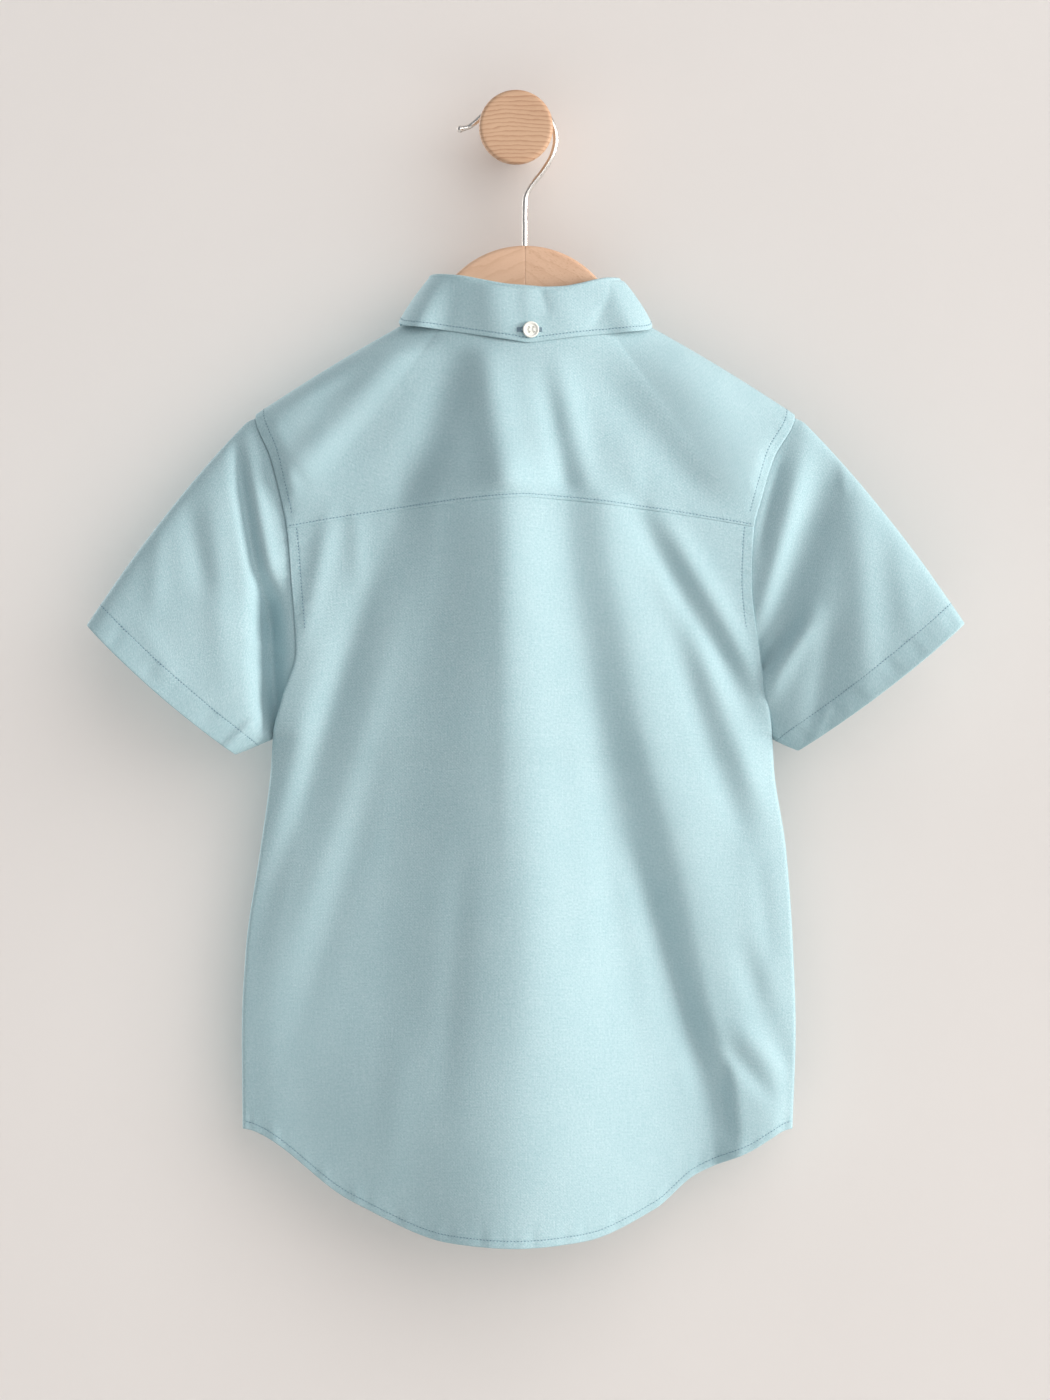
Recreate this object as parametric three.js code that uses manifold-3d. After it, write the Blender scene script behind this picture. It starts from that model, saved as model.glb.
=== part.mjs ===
import * as THREE from 'three';
import { mergeVertices } from 'three/addons/utils/BufferGeometryUtils.js';
import Module from 'manifold-3d';

// A boy's short sleeve shirt on a wooden hanger, hooked over a round wall peg.
// Millimetres, +Z up. The origin is the centre of the peg's flat back, on the wall y = 0.
// The wall is on the +Y side: the shirt's front faces it and its back faces -Y, so the
// wearer's left side is on -X.

// ---------------------------------------------------------------- driving dimensions
const midPlane = -47; // y of the hanger, the hook and the side seams
const centreX = 5.5; // x of the hook's shank and the centre of the neck
const cloth = 1.0; // wall of one layer of cloth
const seamGap = 0.3; // clear space between pieces that meet
const edgeGap = 0.6; // the same where edges meet at an angle
const lapStep = 1.3; // a layer that lies on another is moved out by this much

const peg = { backRadius: 13, neckRadius: 16.2, headRadius: 23, neckEnd: 50, length: 66, edge: 2.5 };
const hook = { wireRadius: 1.75, ballRadius: 2.3, shankDepth: 22, holeRadius: 2.12, halfSides: 5 };
const hanger = {
  humpTop: -72,
  humpRadius: 60,
  humpEnd: 46,
  armStart: 66,
  halfThickness: 5.5,
  endX: 156,
  armHeight: 25,
  endHeight: 17,
  archBottom: -118,
  underCloth: 1.4,
};
const neck = { halfWidth: 61, halfDepth: 32, sideZ: -113.5, backZ: -127, frontZ: -158 };
const stand = { lapAngle: 10, underFrom: 150, underBy: 170, liftOff: 1.1 };
const fold = { sideZ: -92.5, backZ: -100.4, frontZ: -134, flare: -4.2 };
const shoulder = { rightX: 173.5, z: -177.5, rise: 2 };
const armhole = { bottomZ: -377, halfDepth: 20, roundness: 0.42, frontInset: 4 };
const yoke = {
  centreZ: -230,
  cornerZ: -247,
  drop: 17.5,
  dropHalfWidth: 141,
  curve: 1.4,
  frontDrop: 30,
  overHanger: 2.6,
};
const body = { hemZ: -640, cornerRound: 1.25 };
const placket = { halfWidth: 14, bandOut: lapStep };
const leaf = {
  sideZ: -118.9,
  backZ: -134,
  pointZ: -190,
  sideSpread: 18,
  backSpread: 6.5,
  endAngle: 174,
  edgeAngle: 147,
  clear: 2.6,
};
const button = { radius: 5.1, thickness: 2.4, rim: 0.9, holeRadius: 0.65, holePlace: 1.35, clear: 0.34 };
const sleeve = {
  left: { topX: -265.4, topZ: -308.8, lowX: -174.8, lowZ: -388.7 },
  right: { topX: 275.6, topZ: -308.1, lowX: 176, lowZ: -386.3 },
  hemBow: 2.6,
  cuffHalfDepth: 12.5,
  topRise: 5,
  tuck: 0.6,
  under: 2.4,
  underRidge: 2.3,
  overUnderarm: 4,
};

// The body from the shoulders to the hem: side edges and how far each face stands off the
// middle plane before its folds.
const bodyRows = [
  { z: -178, left: -162, right: 173.5, depth: 20 },
  { z: -205, left: -152, right: 160, depth: 20 },
  { z: -232, left: -145, right: 151.5, depth: 20 },
  { z: -250, left: -141.5, right: 147, depth: 20 },
  { z: -280, left: -139, right: 145.7, depth: 19.5 },
  { z: -324, left: -136, right: 150.5, depth: 18 },
  { z: -354, left: -145, right: 156, depth: 16 },
  { z: -377, left: -151, right: 159.3, depth: 14.5 },
  { z: -399, left: -152.5, right: 160.6, depth: 13 },
  { z: -448, left: -159, right: 168, depth: 11.5 },
  { z: -510, left: -168, right: 172.4, depth: 10.5 },
  { z: -560, left: -170.5, right: 174, depth: 10 },
  { z: -622, left: -170, right: 172, depth: 9.5 },
  { z: -700, left: -168, right: 170, depth: 9 },
];

// Long folds of each face: an x, then how far the cloth stands out there, for five ridges or
// troughs from the left side to the right.
const foldColumns = 'z hollowX hollow kneeX knee crestX crest dipX dip rollX roll'.split(' ');
const named = (columns) => (row) => Object.fromEntries(columns.map((name, i) => [name, row[i]]));

const backFolds = [
  [-225, -95, 3, -50, 11, -8, 21.5, 32, 12, 50, 14],
  [-265, -100, 2, -52, 12, -8, 24, 36, 14, 54, 17],
  [-318, -106, 1, -60, 9, -7, 22.5, 42, 11, 68, 14],
  [-355, -114, 1, -68, 9, -5, 21, 52, 9, 78, 12],
  [-392, -118, 2, -72, 9, -1, 24, 62, 6, 87, 10.5],
  [-467, -125, 3, -80, 9, -1, 27, 78, 3, 107, 9],
  [-541, -130, 3, -85, 9, -1, 31, 100, 0, 126, 7],
  [-609, -135, 2, -85, 10, -7, 34, 120, -3, 143, 4],
  [-695, -130, 1, -80, 8, -8, 29, 125, -3, 145, 2],
].map(named(foldColumns));

// The front hangs plainer: a fold under each shoulder and a flatter middle.
const frontFolds = [
  [-200, -84, 6, -20, 12, 5, 13, 30, 12, 94, 6],
  [-318, -88, 8, -20, 11, 5, 12, 30, 11, 98, 8],
  [-467, -96, 10, -20, 8, 5, 9, 30, 8, 112, 8],
  [-609, -106, 12, -20, 9, 5, 10, 30, 9, 118, 11],
  [-695, -106, 12, -20, 9, 5, 10, 30, 9, 118, 11],
].map(named(foldColumns));

// The shirt-tail hem of the back, across from side seam (-1) to side seam (1).
const hemRows = [
  { across: -1, z: -622 },
  { across: -0.6, z: -666 },
  { across: -0.24, z: -690 },
  { across: 0, z: -692.5 },
  { across: 0.235, z: -689.5 },
  { across: 0.5, z: -671 },
  { across: 0.64, z: -651 },
  { across: 0.83, z: -636.5 },
  { across: 1, z: -622 },
];
const frontHemLift = { side: 0, centre: 14 };

const buttonRows = [-178, -254, -330, -406, -482, -558]; // z of the buttons down the placket

const looks = {
  cloth: { color: 0xb7d3d7, roughness: 0.85, metalness: 0 },
  button: { color: 0xe8e4d6, roughness: 0.35, metalness: 0 },
  hanger: { color: 0xd8b699, roughness: 0.55, metalness: 0 },
  peg: { color: 0xcdac8d, roughness: 0.6, metalness: 0 },
  wire: { color: 0xc9c2ba, roughness: 0.3, metalness: 1 },
};

// ---------------------------------------------------------------- small helpers
const { abs, acos, cos, max, min, PI, pow, sign, sin, sqrt } = Math;
const mix = (a, b, t) => a + (b - a) * t;
const clamp01 = (t) => min(max(t, 0), 1);
const smooth = (t) => clamp01(t) ** 2 * (3 - 2 * clamp01(t));
const point = (x, y, z) => new THREE.Vector3(x, y, z);
const radians = (degrees) => (degrees * PI) / 180;

// A smooth curve through (xs, ys) that never overshoots: flat at each high or low point.
function smoothCurve(xs, ys, x) {
  const last = xs.length - 1;
  if (x <= xs[0]) return ys[0];
  if (x >= xs[last]) return ys[last];
  const rise = (i) => (ys[i + 1] - ys[i]) / (xs[i + 1] - xs[i]);
  const slope = (i) => {
    if (i === 0 || i === last) return 0;
    const before = rise(i - 1);
    const after = rise(i);
    return before * after <= 0 ? 0 : (2 * before * after) / (before + after);
  };
  let i = 0;
  while (x > xs[i + 1]) i += 1;
  const width = xs[i + 1] - xs[i];
  const t = (x - xs[i]) / width;
  const startShare = (1 + 2 * t) * (1 - t) ** 2;
  const endShare = t * t * (3 - 2 * t);
  const startPull = t * (1 - t) ** 2 * width * slope(i);
  const endPull = t * t * (t - 1) * width * slope(i + 1);
  return startShare * ys[i] + endShare * ys[i + 1] + startPull + endPull;
}

// Reads one named column of a table whose rows run downwards in z.
function column(rows, name, z) {
  return smoothCurve(rows.map((row) => -row.z), rows.map((row) => row[name]), -z);
}

const steps = (count) => Array.from({ length: count + 1 }, (_, i) => i / count);

// ---------------------------------------------------------------- closed meshes
function solidGeometry(points, triangles) {
  const geometry = new THREE.BufferGeometry();
  const places = new Float32Array(points.flatMap((p) => [p.x, p.y, p.z]));
  geometry.setAttribute('position', new THREE.BufferAttribute(places, 3));
  geometry.setIndex(triangles.flat());
  return geometry;
}

// A wall of even thickness on both sides of a grid of points, rows[v][u]. A ring grid closes
// on itself along u. outward = false turns it over.
function clothWall(rows, { thickness = cloth, ring = false, outward = true } = {}) {
  const across = rows[0].length;
  const number = (v, u) => v * across + (u % across);
  const flat = rows.flat();
  const squares = [];
  for (let v = 0; v + 1 < rows.length; v += 1) {
    for (let u = 0; u < (ring ? across : across - 1); u += 1) {
      const corners = [number(v, u), number(v + 1, u), number(v + 1, u + 1), number(v, u + 1)];
      squares.push(outward ? corners : corners.reverse());
    }
  }
  const normals = flat.map(() => point(0, 0, 0));
  for (const [a, b, c, d] of squares) {
    const normal = flat[c].clone().sub(flat[a]).cross(flat[d].clone().sub(flat[b]));
    for (const corner of [a, b, c, d]) normals[corner].add(normal);
  }
  const used = [...new Set(squares.flat())];
  const place = new Map(used.map((corner, i) => [corner, i]));
  const half = used.length;
  normals.forEach((normal) => normal.normalize());
  const moved = (out) => used.map((c) => flat[c].clone().addScaledVector(normals[c], out));
  const outer = moved(thickness / 2);
  const inner = moved(-thickness / 2);
  const triangles = [];
  const edges = new Map();
  for (const square of squares) {
    const [a, b, c, d] = square.map((corner) => place.get(corner));
    triangles.push([a, b, c], [a, c, d]);
    triangles.push([c + half, b + half, a + half], [d + half, c + half, a + half]);
    const sides = [[a, b], [b, c], [c, d], [d, a]];
    sides.forEach(([from, to]) => edges.set(`${from},${to}`, [from, to]));
  }
  for (const [from, to] of edges.values()) {
    if (edges.has(`${to},${from}`)) continue;
    triangles.push([to, from, from + half], [to, from + half, to + half]);
  }
  return solidGeometry([...outer, ...inner], triangles);
}

// A solid skinned over rings of points, closed by a fan at each end.
function skinned(rings, outward = true) {
  const around = rings[0].length;
  const middle = (ring) => ring.reduce((sum, p) => sum.add(p), point(0, 0, 0)).divideScalar(around);
  const points = [...rings.flat(), middle(rings[0]), middle(rings.at(-1))];
  const startCap = rings.length * around;
  const endCap = startCap + 1;
  const endRing = (rings.length - 1) * around;
  const triangles = [];
  for (let u = 0; u < around; u += 1) {
    const next = (u + 1) % around;
    for (let v = 0; v + 1 < rings.length; v += 1) {
      const here = v * around;
      const above = here + around;
      triangles.push([here + u, here + next, above + next], [here + u, above + next, above + u]);
    }
    triangles.push([startCap, next, u], [endCap, endRing + u, endRing + next]);
  }
  if (!outward) triangles.forEach((triangle) => triangle.reverse());
  return solidGeometry(points, triangles);
}

const wasm = await Module();
wasm.setup();

function toSolid(geometry) {
  const bare = geometry.clone();
  bare.deleteAttribute('normal');
  bare.deleteAttribute('uv');
  const merged = mergeVertices(bare, 1e-4);
  const vertProperties = Float32Array.from(merged.attributes.position.array);
  const triVerts = Uint32Array.from(merged.index.array);
  return new wasm.Manifold(new wasm.Mesh({ numProp: 3, vertProperties, triVerts }));
}

function fromSolid(solid) {
  const { vertProperties, triVerts } = solid.getMesh();
  const geometry = new THREE.BufferGeometry();
  geometry.setAttribute('position', new THREE.BufferAttribute(Float32Array.from(vertProperties), 3));
  geometry.setIndex(new THREE.BufferAttribute(Uint32Array.from(triVerts), 1));
  return geometry;
}

// ---------------------------------------------------------------- the shirt's seam lines
const side = { left: -1, right: 1 };
const face = { back: -1, front: 1 };

// How far the armhole stands off the middle plane, at a height.
function armholeDepth(z) {
  const along = clamp01((shoulder.z - z) / (shoulder.z - armhole.bottomZ));
  return armhole.halfDepth * pow(max(sin(PI * along), 0), armhole.roundness);
}

// The side edge of one face of the body: the front's armholes are cut in a little deeper.
function edgeX(which, z, facing = face.back) {
  const along = clamp01((shoulder.z - z) / (shoulder.z - armhole.bottomZ));
  const inset = facing === face.front ? armhole.frontInset * sin(PI * along) : 0;
  return column(bodyRows, which === side.left ? 'left' : 'right', z) - which * inset;
}

function armholePoint(which, facing, z) {
  return point(edgeX(which, z, facing), midPlane + facing * (armholeDepth(z) + edgeGap / 2), z);
}

// The neck seam and the top fold of the collar: angle 0 is the centre back, 90 the right side.
function neckPoint(degrees, { ring = neck, out = 0, up = 0 } = {}) {
  const angle = radians(degrees);
  const endZ = cos(angle) > 0 ? ring.backZ : ring.frontZ;
  const z = mix(ring.sideZ, endZ, cos(angle) ** 2);
  const x = centreX + (neck.halfWidth + out) * sin(angle);
  return point(x, midPlane - (neck.halfDepth + out) * cos(angle), z + up);
}

function yokeSeamZ(x) {
  return yoke.centreZ - yoke.drop * pow(abs(x - centreX) / yoke.dropHalfWidth, yoke.curve);
}

function hemZ(across, facing) {
  const z = smoothCurve(hemRows.map((row) => row.across), hemRows.map((row) => row.z), across);
  return facing === face.back ? z : z + mix(frontHemLift.side, frontHemLift.centre, 1 - across ** 2);
}

// The standing-off of one face of the body at (x, z): flat between rounded sides, plus folds.
function bodyDepth(facing, x, z) {
  const left = edgeX(side.left, z, facing);
  const right = edgeX(side.right, z, facing);
  const depth = column(bodyRows, 'depth', z);
  const edge = armholeDepth(z);
  const round = depth * body.cornerRound;
  const inside = clamp01(min(x - left, right - x) / round);
  const bend = sqrt(max(1 - (1 - inside) ** 2, 0));
  const folds = facing === face.back ? backFolds : frontFolds;
  const names = ['hollow', 'knee', 'crest', 'dip', 'roll'];
  const xs = [left, ...names.map((name) => column(folds, `${name}X`, z)), right];
  const heights = [0, ...names.map((name) => column(folds, name, z)), 0];
  return mix(edge, max(depth, edge), bend) + smoothCurve(xs, heights, x) * bend;
}

function bodyPoint(facing, x, z, out = 0) {
  return point(x, midPlane + facing * (bodyDepth(facing, x, z) + edgeGap / 2 + out), z);
}

// Places from a panel's side to the end of its turn, closer together where it turns most.
function turnShares(turn) {
  return steps(4).map((t) => turn * (1 - cos((t * PI) / 2)));
}

// Places down a panel's side, closer together where the armhole closes at the underarm.
function downShares(topZ, aboveSteps, belowSteps) {
  const underarm = (topZ - armhole.bottomZ) / (topZ - hemRows[0].z);
  const above = steps(aboveSteps).slice(0, -1).map((t) => underarm * (1 - (1 - t) ** 1.7));
  return [...above, ...steps(belowSteps).map((t) => mix(underarm, 1, t))];
}

// ---------------------------------------------------------------- body panels
function backPanel() {
  const turn = 0.045;
  const middle = steps(20).slice(1, -1).map((t) => mix(turn, 1 - turn, t));
  const across = [...turnShares(turn), ...middle, ...turnShares(turn).map((t) => 1 - t).reverse()];
  const downs = downShares(yokeSeamZ(edgeX(side.left, yoke.cornerZ)) - edgeGap, 8, 13);
  const rows = downs.map((down) =>
    across.map((share) => {
      const seamX = mix(edgeX(side.left, yoke.cornerZ), edgeX(side.right, yoke.cornerZ), share);
      const topZ = yokeSeamZ(seamX) - edgeGap;
      const z = mix(topZ, hemZ(2 * share - 1, face.back), down);
      return bodyPoint(face.back, mix(edgeX(side.left, z), edgeX(side.right, z), share), z);
    }),
  );
  return clothWall(rows);
}

// The yoke is ruled from the neck seam out to the armholes and the back yoke seam, and over
// the shoulders to a short front seam.
const yokeCorner = {
  left: edgeX(side.left, yoke.cornerZ),
  right: edgeX(side.right, yoke.cornerZ),
  neckShare: 0.62,
  frontNeckShare: -0.42,
};

function yokeColumns() {
  const columns = [];
  const seamAngle = (acos(yokeCorner.neckShare) * 180) / PI;
  const overShoulder = (which) => {
    const cornerZ = yokeSeamZ(which === side.left ? yokeCorner.left : yokeCorner.right);
    const back = steps(6).slice(0, -1).map((t) => ({
      neck: (which * acos(yokeCorner.neckShare * t) * 180) / PI,
      outer: armholePoint(which, face.back, mix(shoulder.z, cornerZ, t * t)),
      ridge: t,
      facing: face.back,
    }));
    const front = steps(4).slice(1).map((t) => ({
      neck: (which * acos(yokeCorner.frontNeckShare * t) * 180) / PI,
      outer: armholePoint(which, face.front, shoulder.z - yoke.frontDrop * t * t),
      ridge: t,
      facing: face.front,
    }));
    return [...front.reverse(), ...back];
  };
  columns.push(...overShoulder(side.left));
  for (const t of steps(18)) {
    const x = mix(yokeCorner.left, yokeCorner.right, t);
    const outer = bodyPoint(face.back, x, yokeSeamZ(x));
    columns.push({ neck: mix(-seamAngle, seamAngle, t), outer, ridge: 1, facing: 0 });
  }
  columns.push(...overShoulder(side.right).reverse());
  return columns;
}

function backYoke() {
  const columns = yokeColumns();
  const rows = steps(7).map((out) =>
    columns.map(({ neck: degrees, outer, ridge, facing }) => {
      const p = neckPoint(degrees).lerp(outer, mix(0.004, 1, out));
      const arch = 4 * out * (1 - out);
      p.z += shoulder.rise * arch * (1 - ridge ** 2);
      p.y += facing * yoke.overHanger * arch * sqrt(sin(PI * ridge));
      return p;
    }),
  );
  return clothWall(rows);
}

// One front, from its side seam and armhole (share 0) to the middle (share 1), and down from
// the yoke and the neck seam (0) to the hem (1). Each front reaches past the centre by half
// the placket's width, and the right one lies under the left one there.
const front = {
  seamShare: 0.56,
  lapShare: 0.835,
  neckAngle: (acos(yokeCorner.frontNeckShare) * 180) / PI,
  lapAngle: (placket.halfWidth / neck.halfWidth) * (180 / PI),
  settleBy: 0.22,
};

function frontTop(which, share) {
  const armEnd = armholePoint(which, face.front, shoulder.z - yoke.frontDrop);
  const neckEnd = neckPoint(which * front.neckAngle);
  if (share <= front.seamShare) return armEnd.lerp(neckEnd, share / front.seamShare);
  if (share <= front.lapShare) {
    const along = (share - front.seamShare) / (front.lapShare - front.seamShare);
    return neckPoint(which * mix(front.neckAngle, 180 - front.lapAngle, along));
  }
  const along = (share - front.lapShare) / (1 - front.lapShare);
  return neckPoint(which * mix(180 - front.lapAngle, 180 + front.lapAngle, along));
}

function frontPoint(which, share, down) {
  const start = frontTop(which, share);
  start.z -= edgeGap;
  const middleX = centreX - which * placket.halfWidth;
  const lapX = centreX + which * placket.halfWidth;
  const acrossAt = (z) => {
    const edge = edgeX(which, z, face.front);
    if (share <= front.lapShare) return mix(edge, lapX, share / front.lapShare);
    return mix(lapX, middleX, (share - front.lapShare) / (1 - front.lapShare));
  };
  const [left, right] = [edgeX(side.left, body.hemZ), edgeX(side.right, body.hemZ)];
  const hemAcross = (2 * (acrossAt(body.hemZ) - left)) / (right - left) - 1;
  const z = mix(start.z, hemZ(hemAcross, face.front), down);
  const p = bodyPoint(face.front, acrossAt(z), z);
  const unsettled = 1 - smooth(down / front.settleBy);
  p.x += (start.x - acrossAt(start.z)) * unsettled;
  p.y += (start.y - bodyPoint(face.front, acrossAt(start.z), start.z).y) * unsettled;
  const underLap = smooth((centreX + 2 * placket.halfWidth - p.x) / placket.halfWidth);
  if (which === side.right) p.y -= lapStep * underLap;
  return p;
}

const frontDowns = downShares(shoulder.z - yoke.frontDrop - edgeGap, 9, 11);

function frontPanel(which) {
  const turn = 0.09;
  const shares = turnShares(turn);
  shares.push(...steps(7).slice(1).map((t) => mix(turn, front.lapShare, t)));
  shares.push(...steps(4).slice(1).map((t) => mix(front.lapShare, 1, t)));
  const rows = frontDowns.map((down) => shares.map((share) => frontPoint(which, share, down)));
  return clothWall(rows, { outward: which === side.left });
}

// The button band lies on the left front's edge, made from its points moved out.
function placketPoint(across, down) {
  const p = frontPoint(side.left, mix(front.lapShare, 1, across), down);
  p.y += placket.bandOut;
  return p;
}

function placketBand() {
  const rows = frontDowns.map((down) => {
    return steps(4).map((across) => placketPoint(across, max(down, 0.003)));
  });
  return clothWall(rows);
}

// ---------------------------------------------------------------- collar
const standTop = { ring: fold, out: fold.flare };

function collarStand() {
  const underLap = (degrees) => {
    return -lapStep * smooth((degrees - stand.underFrom) / (stand.underBy - stand.underFrom));
  };
  const rows = steps(2).map((rise) =>
    steps(40).map((t) => {
      const degrees = mix(-180 - stand.lapAngle, 180 + stand.lapAngle, t);
      const out = underLap(degrees);
      const low = neckPoint(degrees, { out, up: stand.liftOff });
      return low.lerp(neckPoint(degrees, { ring: fold, out: out + fold.flare }), rise);
    }),
  );
  return clothWall(rows, { outward: false });
}

// The leaf starts on the fold, turns over it and falls outside to its lower edge, which runs
// down to a point each side of the centre front.
function leafEdge(degrees) {
  const turned = abs(degrees);
  const drawnIn = (leaf.edgeAngle - 90) / (leaf.endAngle - 90);
  const angle = turned <= 90 ? turned : 90 + (turned - 90) * drawnIn;
  const wide = sin(radians(angle));
  const out = mix(leaf.backSpread, leaf.sideSpread, wide ** 2);
  const p = neckPoint(sign(degrees) * angle, { out });
  const frontShare = clamp01((angle - 90) / (leaf.edgeAngle - 90));
  const backShare = cos(radians(angle)) ** 2;
  const backZ = mix(leaf.sideZ, leaf.backZ, backShare);
  const frontZ = mix(leaf.sideZ, leaf.pointZ, frontShare ** 1.5);
  p.z = angle <= 90 ? backZ : frontZ;
  const outside = bodyPoint(face.front, p.x, min(p.z, shoulder.z)).y + leaf.clear;
  p.y = mix(p.y, max(p.y, outside), smooth((frontShare - 0.3) / 0.4));
  return p;
}

function leafPoint(degrees, fall) {
  const turn = neckPoint(degrees, { ring: fold, out: fold.flare + 2.9, up: 0.9 });
  return turn.lerp(leafEdge(degrees), fall);
}

function collarLeaf() {
  const angles = steps(40).map((t) => mix(-leaf.endAngle, leaf.endAngle, t));
  const over = [[0, 1.2], [1.4, 2.1]];
  const rows = over.map(([out, up]) =>
    angles.map((degrees) => neckPoint(degrees, { ring: fold, out: fold.flare + out, up })),
  );
  rows.push(...steps(4).map((fall) => angles.map((degrees) => leafPoint(degrees, fall))));
  return clothWall(rows);
}

// ---------------------------------------------------------------- sleeves
// around: 0 is the top fold, 0.25 the back, 0.5 the underarm, 0.75 the front.
function sleevePoint(which, around, along) {
  const angle = around * 2 * PI;
  const facing = around <= 0.5 ? face.back : face.front;
  const downShare = (1 - cos(angle)) / 2;
  const z = mix(shoulder.z - sleeve.underRidge, armhole.bottomZ + sleeve.overUnderarm, downShare);
  const start = armholePoint(which, facing, z);
  start.x -= which * sleeve.tuck;
  start.y -= facing * min(sleeve.under, abs(start.y - midPlane));
  const cuff = which === side.left ? sleeve.left : sleeve.right;
  const end = point(mix(cuff.topX, cuff.lowX, downShare), 0, mix(cuff.topZ, cuff.lowZ, downShare));
  end.y = midPlane + facing * sleeve.cuffHalfDepth * pow(abs(sin(angle)), 0.8);
  const hemRun = point(cuff.lowX - cuff.topX, 0, cuff.lowZ - cuff.topZ).normalize();
  const bow = sleeve.hemBow * 4 * downShare * (1 - downShare);
  end.x += bow * abs(hemRun.z) * which;
  end.z -= bow * abs(hemRun.x);
  const p = start.lerp(end, along);
  const rise = sleeve.topRise * sin(PI * along) * (1 - downShare) ** 2;
  p.x += which * rise * 0.6;
  p.z += rise * 0.8;
  return p;
}

function sleeveTube(which) {
  const around = 28;
  const rows = steps(9).map((along) =>
    Array.from({ length: around }, (_, i) => sleevePoint(which, i / around, along)),
  );
  return clothWall(rows, { ring: true, outward: which === side.right });
}

// ---------------------------------------------------------------- buttons
function buttonGeometry() {
  const { radius, thickness, rim } = button;
  const dish = thickness - 0.7;
  const profile = [
    [0, 0],
    [radius - 0.7, 0],
    [radius, 0.7],
    [radius, thickness - 0.6],
    [radius - 0.45, thickness],
    [radius - rim, thickness],
    [radius - rim - 0.5, dish],
    [0, dish],
  ].map(([r, h]) => new THREE.Vector2(r, h));
  let solid = toSolid(new THREE.LatheGeometry(profile, 20));
  for (const [x, z] of [[1, 1], [1, -1], [-1, -1], [-1, 1]]) {
    const hole = new THREE.CylinderGeometry(button.holeRadius, button.holeRadius, 4 * thickness, 6);
    hole.translate(x * button.holePlace, 0, z * button.holePlace);
    solid = solid.subtract(toSolid(hole));
  }
  return fromSolid(solid).rotateX(PI / 2);
}

// Sets a button flat on a surface given as a function of two parameters.
function seatButton(mesh, surface, u, v, outHint, wall = cloth) {
  const step = 0.004;
  const along = surface(u + step, v).sub(surface(u - step, v));
  const down = surface(u, v + step).sub(surface(u, v - step));
  const normal = along.cross(down).normalize();
  if (normal.dot(outHint) < 0) normal.negate();
  mesh.quaternion.setFromUnitVectors(point(0, 0, 1), normal);
  mesh.position.copy(surface(u, v)).addScaledVector(normal, wall / 2 + button.clear);
}

// ---------------------------------------------------------------- hanger, hook and peg
function ridgeZ(fromCentre) {
  const reach = shoulder.rightX - centreX;
  const along = (fromCentre - neck.halfWidth) / (reach - neck.halfWidth);
  return mix(neck.sideZ, shoulder.z, along) + shoulder.rise * 4 * clamp01(along) * (1 - clamp01(along));
}

function hangerHalf(which) {
  const topZ = (x) => {
    const hump = hanger.humpTop - hanger.humpRadius + sqrt(max(hanger.humpRadius ** 2 - x ** 2, 0));
    const arm = smooth((x - hanger.humpEnd) / (hanger.armStart - hanger.humpEnd));
    return mix(hump, ridgeZ(x) - hanger.underCloth, arm);
  };
  const lowZ = (x) => {
    const along = clamp01((x - neck.halfWidth) / (hanger.endX - neck.halfWidth));
    const arm = topZ(max(x, hanger.armStart)) - mix(hanger.armHeight, hanger.endHeight, along);
    return mix(hanger.archBottom, arm, smooth(x / hanger.armStart));
  };
  const noseLength = 9;
  const noseStart = hanger.endX - noseLength;
  const stations = steps(15).map((t) => mix(seamGap / 2, noseStart, t));
  stations.push(...[0.35, 0.65, 0.87, 0.98].map((t) => noseStart + noseLength * t));
  const rings = stations.map((x) => {
    const nose = sqrt(1 - clamp01((x - noseStart) / noseLength) ** 2);
    const halfDeep = hanger.halfThickness * mix(0.35, 1, nose);
    const halfHigh = ((topZ(x) - lowZ(x)) / 2) * nose;
    const straight = max(halfHigh - halfDeep, 0);
    const middleZ = (topZ(x) + lowZ(x)) / 2;
    return Array.from({ length: 16 }, (_, i) => {
      const angle = i < 8 ? (PI * i) / 7 : PI + (PI * (i - 8)) / 7;
      const lift = i < 8 ? straight : -straight;
      const z = middleZ + lift + min(halfDeep, halfHigh) * sin(angle);
      return point(centreX + which * x, midPlane + halfDeep * cos(angle), z);
    });
  });
  const body = toSolid(skinned(rings, which === side.right));
  const hole = new THREE.CylinderGeometry(hook.holeRadius, hook.holeRadius, 2 * hook.shankDepth, 16);
  hole.rotateX(PI / 2);
  hole.translate(centreX, midPlane, hanger.humpTop);
  return fromSolid(body.subtract(toSolid(hole)));
}

// The hook is one wire: from its ball end up over the peg's neck, round and down into the
// hanger. Points are x and z.
function hookWire() {
  const route = [
    [-34, 1],
    [-29.5, 2.2],
    [-25.2, 5.3],
    [-21, 9.2],
    [-14.5, 14.2],
    [-6.5, 17.6],
    [1.5, 18.3],
    [10, 16.4],
    [17.8, 11.6],
    [23.2, 3.5],
    [24.8, -6],
    [22.4, -16],
    [16.4, -26],
    [10, -34],
    [6.2, -41],
    [centreX, -49],
    [centreX, -60],
    [centreX, hanger.humpTop - hook.shankDepth + 1],
  ];
  const places = route.map(([x, z]) => point(x, midPlane, z));
  const path = new THREE.CatmullRomCurve3(places, false, 'centripetal');
  const outline = new THREE.Shape().absarc(0, 0, hook.wireRadius, 0, 2 * PI);
  const wire = new THREE.ExtrudeGeometry(outline, {
    steps: 72,
    curveSegments: hook.halfSides,
    bevelEnabled: false,
    extrudePath: path,
  });
  const ball = new THREE.SphereGeometry(hook.ballRadius, 12, 8);
  ball.translate(route[0][0], midPlane, route[0][1]);
  return fromSolid(toSolid(wire).add(toSolid(ball)));
}

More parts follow.
